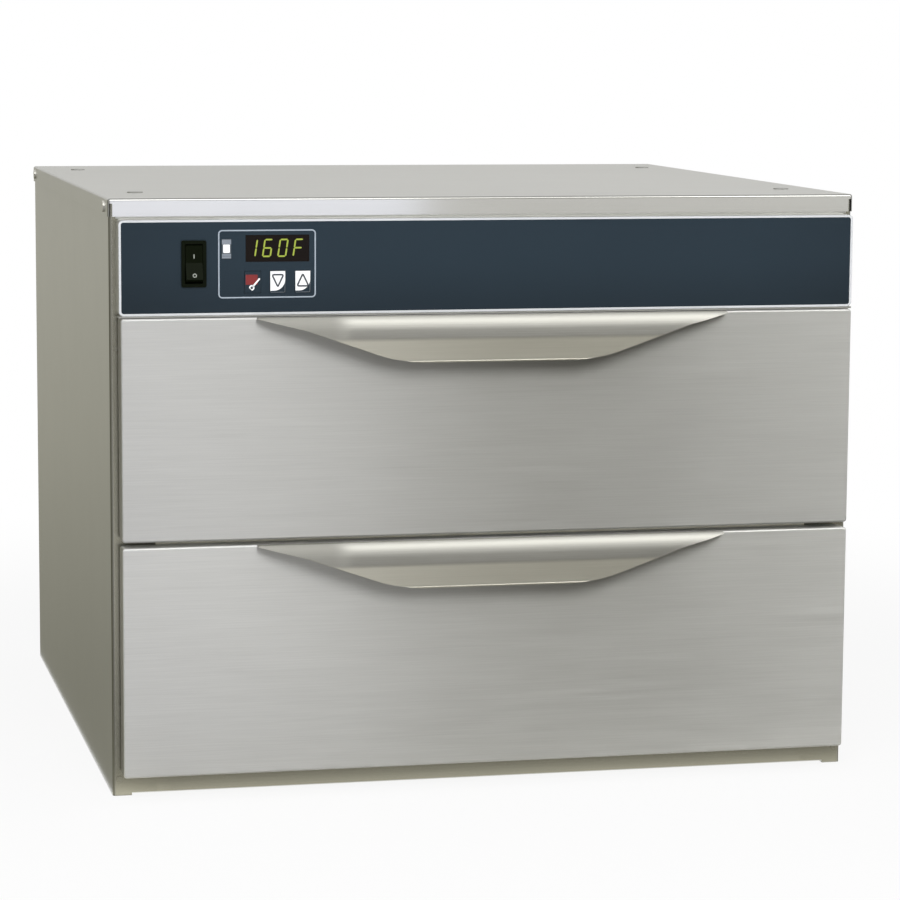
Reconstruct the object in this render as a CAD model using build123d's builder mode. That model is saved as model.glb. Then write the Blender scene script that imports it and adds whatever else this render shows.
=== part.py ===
from build123d import *
import os

# Casing, in millimetres: +X to the right, +Y to the back, +Z up, origin under the middle of the object
casing_width = 625.0
casing_height = 485.2
casing_depth = 602.0
sheet = 1.0
fold_radius = 3.0
flange_width = 15.5
wall_thickness = 37.0
toe_drop = 2.5
overrun = 5.0

# Top cover and its hole plugs
cover_lip = 14.4
cover_edge_radius = 2.0
cover_corner_radius = 3.0
plug_side_inset = 33.5
plug_end_inset = 88.0
plug_hole_radius = 5.0
plug_head_radius = 6.5
plug_head_height = 0.8
plug_stem_length = 5.0
plug_gap = 0.2

# Drawer fronts, and the gaps round them
front_proud = 22.9
front_inset = 7.3
front_skin_depth = 17.0
front_sheet = 1.0
front_corner_radius = 2.5
lower_front_bottom = 19.3
front_gap = 4.5
# the lower front's share of the height of both fronts
lower_front_share = 0.511
front_lap = 14.0
inner_panel_corner_radius = 6.0
front_fill_gap = 0.8

# Handle: a sheet formed over a quarter round, then straight down to a hem
handle_reach = 17.0
handle_height = 37.0
handle_sheet = 1.5
handle_tip_half = 196.0
handle_low_half = 66.0
handle_tip_height = 1.0
handle_hem_height = 4.0
# rounding of the slanted edge, as a share of its run
handle_round_share = 0.69
# places along the slanted edge, as shares of its run inwards and of its drop
handle_slant_shares = ((0.29, 0.25), (0.80, 0.89))
hem_round_share = 0.9

# Seal behind each drawer front
seal_width = 9.0
seal_inset = 3.0
seal_gap = 0.3

# Face frame rails
rail_return = 12.0
base_upturn = 18.0

# Liner of the heated cavity
liner_sheet = 0.8
back_space = 50.0

# Insulation boards and heating cables
board_gap = 0.4
back_board = 25.0
ceiling_board = 14.0
cable_radius = 2.0
cable_rows = 5
cable_end_inset = 40.0
cable_field_inset = 30.0
# bend radius as a share of the step between rows
cable_bend_share = 0.42

# Slides: channel on the liner's wall, runner on the drawer, and their rollers
slide_sheet = 1.5
channel_drop = 76.0
channel_inner_height = 26.0
channel_flange = 19.5
channel_front_inset = 4.0
channel_back_gap = 17.0
front_roller_radius = 9.0
front_roller_inset = 30.0
rear_roller_radius = 11.0
rear_roller_back_gap = 36.0
roller_width = 12.0
roller_side_gap = 1.5
running_gap = 0.3
stud_radius = 3.0
stud_head_radius = 4.5
stud_head_height = 1.5
runner_gap = 3.5
runner_flange = 18.5
runner_ear_half = 13.0
runner_back_gap = 23.0
runner_tab = 26.0
pan_seat_width = 13.5
pan_top_gap = 15.5
bar_height = 30.0

# Food pan
pan_floor_gap = 11.0
pan_back_gap = 64.0
pan_front_inset = 12.0
pan_wall = 0.9
pan_rim = 12.0
pan_side_gap = 1.5
pan_corner_radius = 28.0
pan_floor_radius = 16.0
pan_draft_degrees = 4.0

# Control panel and its film
panel_height = 76.6
panel_proud = 18.9
panel_inset = 6.3
panel_gap = 1.8
panel_cover_gap = 1.6
panel_corner_radius = 4.0
film_thickness = 0.5
film_margin = 0.2

# Rocker switch
switch_inset = 60.0
switch_rise = 3.1
switch_width = 20.0
switch_height = 37.3
switch_bezel = 1.5
switch_depth = 24.0
switch_wall = 1.0
rocker_tilt_degrees = 10.0
rocker_length_share = 0.885
rocker_back = 4.0
rocker_pivot_depth = 3.0
rocker_gap = 0.4
switch_lip_radius = 1.5

# Controller
controller_inset = 119.0
controller_rise = 2.6
controller_width = 76.0
controller_height = 51.0
controller_face = 4.0
controller_flange = 6.0
controller_corner_radius = 3.0
controller_body_width = 70.0
controller_body_height = 42.0
controller_body_depth = 62.0
controller_fit_gap = 0.3
display_shift = 8.4
display_rise = 12.3
display_width = 51.6
display_height = 21.5
window_thickness = 1.2
window_fit_gap = 0.1
indicator_shift = -32.8
indicator_rise = 12.1
indicator_width = 7.6
indicator_height = 15.9
indicator_proud = 0.6

# Keys, all on one line
key_drop = 14.5
set_key_shift = -11.8
down_key_shift = 8.5
up_key_shift = 28.8
set_key_width = 13.0
arrow_key_width = 12.2
key_height = 17.2
key_thickness = 2.2
key_proud = 0.6
key_gap = 0.2
key_well_room = 0.6
key_corner_radius = 0.8
arrow_key_corner_radius = 4.0

# Electrical pieces inside
block_side_inset = 162.5
block_z = 70.0
block_width = 60.0
block_height = 26.0
block_depth = 18.0
block_way_radius = 2.5
block_ways = 4
block_way_depth = 8.0
probe_drop = 9.0
probe_radius = 3.0
probe_length = 90.0
probe_clip_width = 14.0
probe_clip_sheet = 1.5
probe_stand_off = 6.0

# Cord gland in the back panel
gland_side_inset = 82.5
gland_z = 70.0
gland_reach = 14.0
gland_bore_radius = 5.0
gland_thread_radius = 10.0
gland_hex_radius = 15.0
gland_hex_height = 5.0
gland_nut_height = 5.0
gland_dome_radius = 11.0
gland_dome_tip_radius = 8.0
gland_fit_gap = 0.2

# Leg nuts welded into the base
leg_side_inset = 42.5
leg_end_inset = 38.0
leg_hole_radius = 5.25
leg_nut_radius = 10.0
leg_nut_height = 8.0

# Screws and rivets
screw_head_radius = 4.5
screw_head_height = 1.6
screw_radius = 1.9
screw_hole_radius = 2.1
screw_tail = 0.5
cover_screw_inset = 20.0
rear_screw_inset = 8.0
rear_screw_rows = 4
rear_screw_end_inset = 61.5
runner_screw_inset = 12.0
runner_screw_spacing = 30.0
rivet_head_radius = 2.4
rivet_head_height = 1.0
rivet_radius = 1.4
rivet_hole_radius = 1.6
rivet_inset = 5.5
rivet_low = 14.0
rivet_drop = 25.0

# Levels and planes worked out from those sizes
half_width = casing_width / 2
side_x = half_width - sheet
flat_half = side_x - fold_radius
cavity_x = half_width - wall_thickness
front_y = (front_proud + handle_reach - casing_depth - gland_reach) / 2
back_y = front_y + casing_depth
middle_y = (front_y + back_y) / 2
liner_back_y = back_y - back_space
side_top = casing_height - cover_edge_radius
panel_top = casing_height - cover_lip - panel_cover_gap
panel_bottom = panel_top - panel_height
upper_front_top = panel_bottom - panel_gap
fronts_height = upper_front_top - lower_front_bottom - front_gap
lower_front_top = lower_front_bottom + fronts_height * lower_front_share
upper_front_bottom = lower_front_top + front_gap
opening_floor = lower_front_bottom + front_lap
opening_ceiling = upper_front_top - front_lap
mullion_bottom = lower_front_top - front_lap
mullion_top = upper_front_bottom + front_lap

# Planes of the fronts and the control panel
panel_half = half_width - panel_inset
panel_face_y = front_y - panel_proud
film_face_y = panel_face_y - film_thickness
face_y = front_y - front_proud
skin_back_y = face_y + front_skin_depth
inner_back_y = skin_back_y + front_sheet
front_half = half_width - front_inset
front_edge_radius = handle_sheet

# Places of the controls on the panel
panel_middle = (panel_bottom + panel_top) / 2
switch_x = switch_inset - panel_half
switch_z = panel_middle + switch_rise
controller_x = controller_inset - panel_half
controller_z = panel_middle + controller_rise
display_x = controller_x + display_shift
display_z = controller_z + display_rise
indicator_x = controller_x + indicator_shift
indicator_z = controller_z + indicator_rise
key_z = controller_z - key_drop

# Slide places across and along the cavity
channel_web_x = cavity_x - slide_sheet
channel_tip_x = cavity_x - channel_flange
channel_front_y = front_y + channel_front_inset
channel_back_y = liner_back_y - channel_back_gap
runner_out_x = channel_tip_x - runner_gap
runner_in_x = runner_out_x - slide_sheet
runner_back_y = liner_back_y - runner_back_gap
pan_seat_x = runner_in_x - pan_seat_width
front_roller_y = front_y + front_roller_inset
rear_roller_y = liner_back_y - rear_roller_back_gap

# Food pan, sized by the lower of the two openings
pan_half = pan_seat_x - pan_side_gap
pan_front_y = front_y + pan_front_inset
pan_back_y = liner_back_y - pan_back_gap
pan_length = pan_back_y - pan_front_y
pan_seat_rise = opening_ceiling - mullion_top - pan_top_gap
pan_depth = pan_seat_rise - pan_floor_gap

# Places of the cord gland and the terminal block along the back
gland_x = half_width - gland_side_inset
block_x = half_width - block_side_inset

drawers = {
    "lower": (lower_front_bottom, lower_front_top, opening_floor),
    "upper": (upper_front_bottom, upper_front_top, mullion_top),
}


def span_box(xs, ys, zs, mode=Mode.ADD):
    """Block between two limits along each axis."""
    with Locations(((xs[0] + xs[1]) / 2, (ys[0] + ys[1]) / 2, (zs[0] + zs[1]) / 2)):
        Box(xs[1] - xs[0], ys[1] - ys[0], zs[1] - zs[0], mode=mode)


def across_y(y):
    """Upright plane at y that looks to the front, with X to the right and Z up."""
    return Plane.XZ.offset(-y)


def folded(plane, points, thickness, radius=fold_radius):
    """Section of a sheet folded along a line of points, with its thickness to the left of the line."""
    with BuildSketch(plane) as section:
        with BuildLine():
            FilletPolyline(*points, radius=radius)
            offset(amount=thickness, side=Side.LEFT)
        make_face()
    return section.sketch


def mirrored(part):
    """The same piece for the left side."""
    with BuildPart() as twin:
        mirror(part, about=Plane.YZ)
    return twin.part


def finish(part, name):
    """Names a piece and writes it."""
    part.label = name
    export_step(part, f"parts/{name}.step")


def channel_floor(opening_bottom):
    """Height of the face that a drawer's rear rollers run on."""
    return pan_seat(opening_bottom) - channel_drop + slide_sheet


def runner_flange_bottom(opening_bottom):
    """Height of the runner's flange, just above the front rollers."""
    return channel_floor(opening_bottom) + 2 * front_roller_radius + 2 * running_gap


def pan_seat(opening_bottom):
    """Height of the face that the food pan's rim rests on."""
    return opening_bottom + pan_seat_rise


def cover_screw_planes():
    """Seats of the screws on the cover's side lips."""
    seat_z = casing_height - cover_lip / 2
    rows = (front_y + cover_screw_inset, back_y - cover_screw_inset)
    return [Plane((side * half_width, y, seat_z), z_dir=(side, 0, 0)) for side in (-1, 1) for y in rows]


def rear_screw_planes():
    """Seats of the screws along the back panel's upright edges."""
    low = rear_screw_end_inset
    step = (casing_height - 2 * rear_screw_end_inset) / (rear_screw_rows - 1)
    x = side_x - rear_screw_inset
    rows = range(rear_screw_rows)
    return [Plane((side * x, back_y, low + step * row), z_dir=(0, 1, 0)) for side in (-1, 1) for row in rows]


def runner_screw_planes(opening_bottom, side):
    """Seats of the screws that hold one runner's tab to the drawer front."""
    x = side * (runner_out_x - runner_tab + runner_screw_inset)
    middle = (runner_flange_bottom(opening_bottom) + pan_seat(opening_bottom)) / 2
    heights = (middle - runner_screw_spacing / 2, middle + runner_screw_spacing / 2)
    return [Plane((x, inner_back_y + slide_sheet, z), z_dir=(0, 1, 0)) for z in heights]


def rivet_planes():
    """Seats of the rivets on the stiles, beside the drawer fronts."""
    x = side_x - rivet_inset
    heights = (rivet_low, upper_front_top - rivet_drop)
    return [Plane((side * x, front_y, z), z_dir=(0, -1, 0)) for side in (-1, 1) for z in heights]


def fasteners(planes, head_radius, head_height, radius, length):
    """Group of fasteners whose heads sit on the given planes, with shanks behind."""
    with BuildPart() as group:
        for seat in planes:
            with BuildSketch(seat):
                Circle(head_radius)
            extrude(amount=head_height)
            with BuildSketch(seat):
                Circle(radius)
            extrude(amount=-length)
    return group.part


def screws(planes, grip):
    """Group of screws through a grip of sheets."""
    return fasteners(planes, screw_head_radius, screw_head_height, screw_radius, grip + screw_tail)


def drill(planes, radius=screw_hole_radius):
    """Cuts a round hole through the piece in hand at each plane."""
    for seat in planes:
        with Locations(seat):
            Cylinder(radius, 2 * overrun, mode=Mode.SUBTRACT)


def side_panel():
    """Right side: wall with its front stile, rear, top and toe flanges."""
    stile = [(cavity_x, front_y), (side_x, front_y), (side_x, back_y - sheet)]
    stile.append((side_x - flange_width, back_y - sheet))
    with BuildPart() as panel:
        extrude(folded(Plane.XY, stile, sheet), amount=side_top)
        flange_y = (front_y + sheet, back_y - 2 * sheet)
        flange_x = (side_x - flange_width, side_x - sheet)
        span_box(flange_x, flange_y, (0, sheet))
        span_box(flange_x, flange_y, (side_top - sheet, side_top))
        notch_y = (front_y - overrun, front_y + sheet)
        span_box((cavity_x - overrun, side_x - flange_width), notch_y, (-overrun, toe_drop), Mode.SUBTRACT)
        drill(cover_screw_planes())
        drill(rear_screw_planes())
        drill(rivet_planes(), rivet_hole_radius)
    return panel.part


def plug_places():
    """Places of the plugged holes in the cover, seen from above."""
    x = half_width - plug_side_inset
    rows = (front_y + plug_end_inset, back_y - plug_end_inset)
    return [(side * x, y) for side in (-1, 1) for y in rows]


def leg_places():
    """Places of the leg holes in the base, seen from above."""
    x = half_width - leg_side_inset
    rows = (front_y + leg_end_inset, back_y - leg_end_inset)
    return [(side * x, y) for side in (-1, 1) for y in rows]


def top_cover():
    """Shallow pan turned over the casing, with four plugged holes and open front corners."""
    with BuildPart() as cover:
        with BuildSketch(Plane.XY.offset(casing_height - cover_lip)):
            with Locations((0, middle_y)):
                RectangleRounded(casing_width, casing_depth + 2 * sheet, cover_corner_radius)
        extrude(amount=cover_lip)
        fillet(cover.faces().sort_by(Axis.Z)[-1].edges(), cover_edge_radius)
        offset(amount=-sheet, openings=cover.faces().sort_by(Axis.Z)[0])
        with Locations(*[(x, y, casing_height) for x, y in plug_places()]):
            Hole(plug_hole_radius, 2 * sheet)
        drill(cover_screw_planes())
        for side in (-1, 1):
            slit = sorted((side * (side_x - sheet / 2), side * (side_x - cover_corner_radius)))
            slit_heights = (casing_height - cover_lip - overrun, casing_height - 2 * cover_edge_radius)
            span_box(slit, (front_y - overrun, front_y + sheet), slit_heights, Mode.SUBTRACT)
    return cover.part


def hole_plugs():
    """Flat plugs in the cover's holes."""
    with BuildPart() as plugs:
        with BuildSketch(Plane.XY.offset(casing_height)):
            with Locations(*plug_places()):
                Circle(plug_head_radius)
        extrude(amount=plug_head_height)
        with BuildSketch(Plane.XY.offset(casing_height)):
            with Locations(*plug_places()):
                Circle(plug_hole_radius - plug_gap)
        extrude(amount=-plug_stem_length)
    return plugs.part


def back_panel():
    """Flat back with its screw holes and the gland's hole."""
    with BuildPart() as back:
        span_box((-flat_half, flat_half), (back_y - sheet, back_y), (toe_drop, side_top))
        drill(rear_screw_planes())
        drill([Plane((gland_x, back_y, gland_z), z_dir=(0, 1, 0))], gland_thread_radius + gland_fit_gap)
    return back.part


def base_pan():
    """Floor of the casing, turned up at the front and back, with the leg holes."""
    front = front_y + sheet
    back = back_y - 2 * sheet
    line = [(front, base_upturn), (front, sheet), (back, sheet), (back, base_upturn)]
    with BuildPart() as base:
        extrude(folded(Plane.YZ, line, sheet), amount=flat_half, both=True)
        with Locations(*[(x, y, 2 * sheet) for x, y in leg_places()]):
            Hole(leg_hole_radius, 2 * sheet)
        drill(rivet_planes(), rivet_hole_radius)
    return base.part


def leg_nuts():
    """Nuts above the leg holes."""
    with BuildPart() as nuts:
        with BuildSketch(Plane.XY.offset(2 * sheet)):
            with Locations(*leg_places()):
                RegularPolygon(leg_nut_radius, 6)
                Circle(leg_hole_radius, mode=Mode.SUBTRACT)
        extrude(amount=leg_nut_height)
    return nuts.part


def frame_rail(bottom, top, half_length):
    """Channel across the face frame, open to the back."""
    back = front_y + rail_return
    line = [(back, bottom), (front_y, bottom), (front_y, top), (back, top)]
    with BuildPart() as rail:
        extrude(folded(Plane.YZ, line[::-1], sheet, fold_radius / 2), amount=half_length, both=True)
    return rail.part


def bottom_rail():
    """Rail under the lower drawer, with a return at its top edge only."""
    back = front_y + rail_return
    line = [(back, opening_floor - liner_sheet), (front_y, opening_floor - liner_sheet), (front_y, toe_drop)]
    with BuildPart() as rail:
        extrude(folded(Plane.YZ, line, sheet, fold_radius / 2), amount=cavity_x, both=True)
    return rail.part


def liner_wall():
    """Right wall of the heated cavity."""
    with BuildPart() as wall:
        span_box((cavity_x, cavity_x + liner_sheet), (front_y + sheet, liner_back_y),
                 (opening_floor - liner_sheet, opening_ceiling + liner_sheet))
    return wall.part


def liner_plate(bottom):
    """Floor or ceiling of the heated cavity."""
    with BuildPart() as plate:
        span_box((-cavity_x, cavity_x), (front_y + fold_radius, liner_back_y), (bottom, bottom + liner_sheet))
    return plate.part


def liner_back():
    """Back wall of the heated cavity."""
    with BuildPart() as wall:
        outer_x = cavity_x + liner_sheet
        span_box((-outer_x, outer_x), (liner_back_y, liner_back_y + liner_sheet),
                 (opening_floor - liner_sheet, opening_ceiling + liner_sheet))
    return wall.part


def heating_cables():
    """A cable laid to and fro on the outside of each liner wall."""
    x = cavity_x + liner_sheet + cable_radius
    ends = (front_y + cable_end_inset, liner_back_y - cable_end_inset)
    low = opening_floor + cable_field_inset
    step = (opening_ceiling - cable_field_inset - low) / (cable_rows - 1)
    points = []
    for row in range(cable_rows):
        run = ends if row % 2 == 0 else ends[::-1]
        points += [(x, y, low + step * row) for y in run]
    with BuildPart() as cables:
        with BuildLine() as route:
            FilletPolyline(*points, radius=step * cable_bend_share)
        with BuildSketch(Plane(points[0], z_dir=(0, 1, 0))):
            Circle(cable_radius)
        sweep(path=route.line)
        mirror(about=Plane.YZ)
    return cables.part


def insulation_boards():
    """Boards between the liner and the casing: two sides, back, ceiling and floor."""
    inner_x = cavity_x + liner_sheet + 2 * cable_radius + board_gap
    outer_x = side_x - sheet - board_gap
    front = front_y + rail_return + board_gap
    board_back = liner_back_y + liner_sheet
    low = leg_nut_height + 2 * sheet + board_gap
    with BuildPart() as boards:
        for side in (-1, 1):
            span_box(sorted((side * inner_x, side * outer_x)), (front, board_back), (low, opening_ceiling))
        span_box((-cavity_x, cavity_x), (board_back, board_back + back_board), (low, opening_ceiling))
        ceiling = opening_ceiling + liner_sheet
        span_box((-cavity_x, cavity_x), (front, liner_back_y), (ceiling, ceiling + ceiling_board))
        floor = opening_floor - liner_sheet
        span_box((-cavity_x, cavity_x), (front, liner_back_y), (floor - ceiling_board, floor))
    return boards.part


def control_panel():
    """Shallow box that carries the controls, open to the back."""
    with BuildPart() as panel:
        with BuildSketch(across_y(front_y)):
            with Locations((0, (panel_bottom + panel_top) / 2)):
                RectangleRounded(2 * panel_half, panel_top - panel_bottom, panel_corner_radius)
        extrude(amount=panel_proud)
        offset(amount=-sheet, openings=panel.faces().sort_by(Axis.Y)[-1])
        with BuildSketch(across_y(panel_face_y + 2 * sheet)):
            with Locations((switch_x, switch_z)):
                Rectangle(switch_width - 2 * switch_bezel, switch_height - 2 * switch_bezel)
            with Locations((controller_x, controller_z)):
                RectangleRounded(controller_width, controller_height, controller_corner_radius)
        extrude(amount=2 * sheet + overrun, mode=Mode.SUBTRACT)
    return panel.part


def key_places():
    """Each key's name, place across the panel and width."""
    return (("set_key", controller_x + set_key_shift, set_key_width),
            ("down_key", controller_x + down_key_shift, arrow_key_width),
            ("up_key", controller_x + up_key_shift, arrow_key_width))


def panel_film():
    """Film over the panel's face, with windows for the switch, display, light and keys."""
    with BuildPart() as film:
        with BuildSketch(across_y(panel_face_y)):
            with Locations((0, (panel_bottom + panel_top) / 2)):
                RectangleRounded(2 * (panel_half - film_margin), panel_top - panel_bottom - 2 * film_margin,
                                 panel_corner_radius - film_margin)
            with Locations((switch_x, switch_z)):
                Rectangle(switch_width - 2 * switch_bezel, switch_height - 2 * switch_bezel,
                          mode=Mode.SUBTRACT)
            with Locations((display_x, display_z)):
                Rectangle(display_width, display_height, mode=Mode.SUBTRACT)
            with Locations((indicator_x, indicator_z)):
                Rectangle(indicator_width, indicator_height, mode=Mode.SUBTRACT)
            for name, x, width in key_places():
                with Locations((x, key_z)):
                    Rectangle(width + 2 * key_gap, key_height + 2 * key_gap, mode=Mode.SUBTRACT)
        extrude(amount=film_thickness)
    return film.part


def switch_housing():
    """Box of the rocker switch, with a bezel on the film and an open front."""
    body_width = switch_width - 2 * switch_bezel - 2 * rocker_gap
    body_height = switch_height - 2 * switch_bezel - 2 * rocker_gap
    with BuildPart() as housing:
        with BuildSketch(across_y(film_face_y)):
            with Locations((switch_x, switch_z)):
                RectangleRounded(switch_width, switch_height, switch_lip_radius)
        extrude(amount=switch_bezel)
        with BuildSketch(across_y(film_face_y)):
            with Locations((switch_x, switch_z)):
                Rectangle(body_width, body_height)
        extrude(amount=-switch_depth)
        with BuildSketch(across_y(film_face_y - switch_bezel)):
            with Locations((switch_x, switch_z)):
                Rectangle(body_width - 2 * switch_wall, body_height - 2 * switch_wall)
        extrude(amount=switch_wall - switch_depth - switch_bezel, mode=Mode.SUBTRACT)
    return housing.part


def rocker():
    """Rocker with two faces that meet in a shallow valley, tipped to its on side."""
    margin = switch_bezel + rocker_gap + switch_wall + rocker_gap
    half = switch_width / 2 - margin
    end_radius = switch_height / 2 - margin
    outward = Vector(0, -1, 0).rotate(Axis.X, -rocker_tilt_degrees)
    pivot = (switch_x, film_face_y + rocker_pivot_depth, switch_z)
    lean = Vector(1, 0, 0).rotate(Axis.Z, rocker_tilt_degrees)
    reach = end_radius * rocker_length_share
    stand = (end_radius ** 2 - reach ** 2) ** 0.5
    valley = stand - reach * lean.Y / lean.X
    sweep_degrees = Vector(0, 1, 0).get_angle(Vector(stand, reach, 0))
    with BuildPart() as tilting:
        with BuildSketch(Plane(pivot, x_dir=outward, z_dir=(-1, 0, 0))):
            with BuildLine():
                Polyline((stand, reach), (valley, 0), (stand, -reach))
                CenterArc((0, 0), end_radius, -90, sweep_degrees)
                Polyline((0, -end_radius), (-rocker_back, 0), (0, end_radius))
                CenterArc((0, 0), end_radius, 90, -sweep_degrees)
            make_face()
        extrude(amount=half, both=True)
    return tilting.part


def controller():
    """Controller with its face in the panel's cut-out, wells for the keys and a body behind."""
    window_y = film_face_y + window_thickness + window_fit_gap
    with BuildPart() as module:
        with BuildSketch(across_y(panel_face_y)):
            with Locations((controller_x, controller_z)):
                RectangleRounded(controller_width - 2 * controller_fit_gap,
                                 controller_height - 2 * controller_fit_gap,
                                 controller_corner_radius - controller_fit_gap)
        extrude(amount=-sheet)
        with BuildSketch(across_y(panel_face_y + sheet)):
            with Locations((controller_x, controller_z)):
                Rectangle(controller_width + controller_flange, controller_height + controller_flange)
        extrude(amount=-controller_face)
        with BuildSketch(across_y(panel_face_y + sheet + controller_face)):
            with Locations((controller_x, controller_z)):
                Rectangle(controller_body_width, controller_body_height)
        extrude(amount=-controller_body_depth)
        with BuildSketch(across_y(window_y)):
            with Locations((display_x, display_z)):
                Rectangle(display_width, display_height)
            with Locations((indicator_x, indicator_z)):
                Rectangle(indicator_width, indicator_height)
        extrude(amount=overrun, mode=Mode.SUBTRACT)
        with BuildSketch(across_y(film_face_y - key_proud + key_thickness + key_well_room)):
            for name, x, width in key_places():
                with Locations((x, key_z)):
                    Rectangle(width + 2 * key_gap, key_height + 2 * key_gap)
        extrude(amount=overrun, mode=Mode.SUBTRACT)
    return module.part


def window(x, z, width, height, proud):
    """Clear window set into the controller's face."""
    with BuildPart() as pane:
        with BuildSketch(across_y(film_face_y + window_thickness)):
            with Locations((x, z)):
                Rectangle(width - 2 * window_fit_gap, height - 2 * window_fit_gap)
        extrude(amount=window_thickness + proud)
    return pane.part


def key(x, width, corner):
    """Key that stands a little proud of the film, with one larger rounded corner."""
    with BuildPart() as cap:
        with BuildSketch(across_y(film_face_y - key_proud + key_thickness)) as outline:
            with Locations((x, key_z)):
                Rectangle(width, key_height)
            lower = outline.vertices().group_by(Axis.Y)[0].sort_by(Axis.X)
            fillet(lower[-1], corner)
            fillet(outline.vertices().group_by(Axis.Y)[-1], key_corner_radius)
        extrude(amount=key_thickness)
    return cap.part


def terminal_block():
    """Block of screw terminals on the back panel's inner face."""
    with BuildPart() as block:
        back = back_y - sheet
        span_box((block_x - block_width / 2, block_x + block_width / 2), (back - block_depth, back),
                 (block_z - block_height / 2, block_z + block_height / 2))
        with Locations(Plane((block_x, back - block_depth, block_z), z_dir=(0, -1, 0))):
            with GridLocations(block_width / block_ways, block_height / 2, block_ways, 2):
                Hole(block_way_radius, block_way_depth)
    return block.part


def temperature_probe():
    """Probe held across the cavity's back wall by two clips."""
    axis_y = liner_back_y - probe_stand_off
    probe_z = opening_ceiling - probe_drop
    with BuildPart() as probe:
        with BuildSketch(Plane.YZ):
            with Locations((axis_y, probe_z)):
                Circle(probe_radius)
        extrude(amount=probe_length / 2, both=True)
        for side in (-1, 1):
            x = side * probe_length / 4
            span_box((x - probe_clip_width / 2, x + probe_clip_width / 2), (axis_y, liner_back_y),
                     (probe_z - probe_clip_sheet / 2, probe_z + probe_clip_sheet / 2))
            span_box((x - probe_clip_width / 2, x + probe_clip_width / 2),
                     (liner_back_y - probe_clip_sheet, liner_back_y), (probe_z - probe_clip_width, probe_z))
    return probe.part


def cord_gland():
    """Gland with a hexagon, a dome nut and a lock nut inside the panel."""
    seat = Plane((gland_x, back_y, gland_z), z_dir=(0, 1, 0))
    with BuildPart() as gland:
        with BuildSketch(seat):
            RegularPolygon(gland_hex_radius, 6)
        extrude(amount=gland_hex_height)
        with BuildSketch(seat.offset(gland_hex_height)):
            Circle(gland_dome_radius)
        with BuildSketch(seat.offset(gland_reach)):
            Circle(gland_dome_tip_radius)
        loft()
        with BuildSketch(seat):
            Circle(gland_thread_radius)
        extrude(amount=-sheet - gland_nut_height)
        with BuildSketch(seat.offset(-sheet)):
            RegularPolygon(gland_hex_radius, 6)
        extrude(amount=-gland_nut_height)
        with BuildSketch(seat.offset(gland_reach + overrun)):
            Circle(gland_bore_radius)
        extrude(amount=-gland_reach - sheet - gland_nut_height - 2 * overrun, mode=Mode.SUBTRACT)
    return gland.part


def slide_channel(opening_bottom):
    """Right channel on the liner's wall, with the stud of its front roller."""
    floor = channel_floor(opening_bottom)
    bottom = floor - slide_sheet
    top = floor + channel_inner_height + slide_sheet
    line = [(channel_tip_x, bottom), (cavity_x, bottom), (cavity_x, top), (channel_tip_x, top)]
    stud_z = floor + running_gap + front_roller_radius
    with BuildPart() as channel:
        extrude(folded(across_y(channel_back_y), line, slide_sheet), amount=channel_back_y - channel_front_y)
        roller_stud(Plane((channel_web_x, front_roller_y, stud_z), z_dir=(-1, 0, 0)))
    return channel.part


def roller_stud(plane):
    """Stud with a head that holds a roller, standing on the given plane."""
    length = roller_width + 2 * roller_side_gap
    with Locations(plane):
        Cylinder(stud_radius, length, align=(Align.CENTER, Align.CENTER, Align.MIN))
    with Locations(plane.offset(length)):
        Cylinder(stud_head_radius, stud_head_height, align=(Align.CENTER, Align.CENTER, Align.MIN))


def roller_pair(inner_x, y, z, radius):
    """Two rollers on one line, left and right, with clear bores."""
    with BuildPart() as pair:
        for side in (-1, 1):
            with BuildSketch(Plane((side * inner_x, y, z), z_dir=(side, 0, 0))):
                Circle(radius)
                Circle(stud_radius + running_gap, mode=Mode.SUBTRACT)
            extrude(amount=roller_width)
    return pair.part


def runner(opening_bottom):
    """Right runner: flange over the front roller, upright web, pan seat, front tab and rear ear."""
    low = runner_flange_bottom(opening_bottom)
    high = low + slide_sheet
    seat = pan_seat(opening_bottom)
    tip = runner_out_x + runner_flange
    flange_back = rear_roller_y - rear_roller_radius - roller_side_gap
    line = [(tip, high), (runner_out_x, high), (runner_out_x, seat), (pan_seat_x, seat)]
    ear_z = channel_floor(opening_bottom) + running_gap + rear_roller_radius
    ear_y = (rear_roller_y - runner_ear_half, rear_roller_y + runner_ear_half)
    with BuildPart() as rail:
        extrude(folded(across_y(runner_back_y), line, slide_sheet), amount=runner_back_y - inner_back_y)
        span_box((runner_out_x, tip + overrun), (flange_back, runner_back_y + overrun),
                 (low - overrun, high + overrun), Mode.SUBTRACT)
        span_box((runner_in_x, runner_out_x), ear_y, (ear_z - rear_roller_radius / 2, high + 2 * fold_radius))
        span_box((runner_out_x - runner_tab, runner_in_x), (inner_back_y, inner_back_y + slide_sheet),
                 (high + fold_radius, seat - slide_sheet))
        drill(runner_screw_planes(opening_bottom, 1))
        roller_stud(Plane((runner_out_x, rear_roller_y, ear_z), z_dir=(1, 0, 0)))
    return rail.part


def cross_bars(opening_bottom):
    """Front and rear bars between the runners, each with a ledge for the pan's rim."""
    seat = pan_seat(opening_bottom)
    foot = seat - bar_height
    rear = pan_back_y + pan_rim + 2 * slide_sheet
    front_line = [(pan_front_y - pan_side_gap, seat), (inner_back_y, seat), (inner_back_y, foot)]
    rear_line = [(rear, foot), (rear, seat), (pan_back_y + pan_side_gap, seat)]
    with BuildPart() as bars:
        extrude(folded(Plane.YZ, front_line, slide_sheet), amount=runner_out_x - runner_tab, both=True)
        extrude(folded(Plane.YZ, rear_line, slide_sheet), amount=runner_in_x, both=True)
        for side in (-1, 1):
            ends = sorted((side * pan_seat_x, side * (runner_in_x + overrun)))
            span_box(ends, (pan_back_y, rear + overrun), (seat - fold_radius, seat + overrun), Mode.SUBTRACT)
    return bars.part


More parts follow.
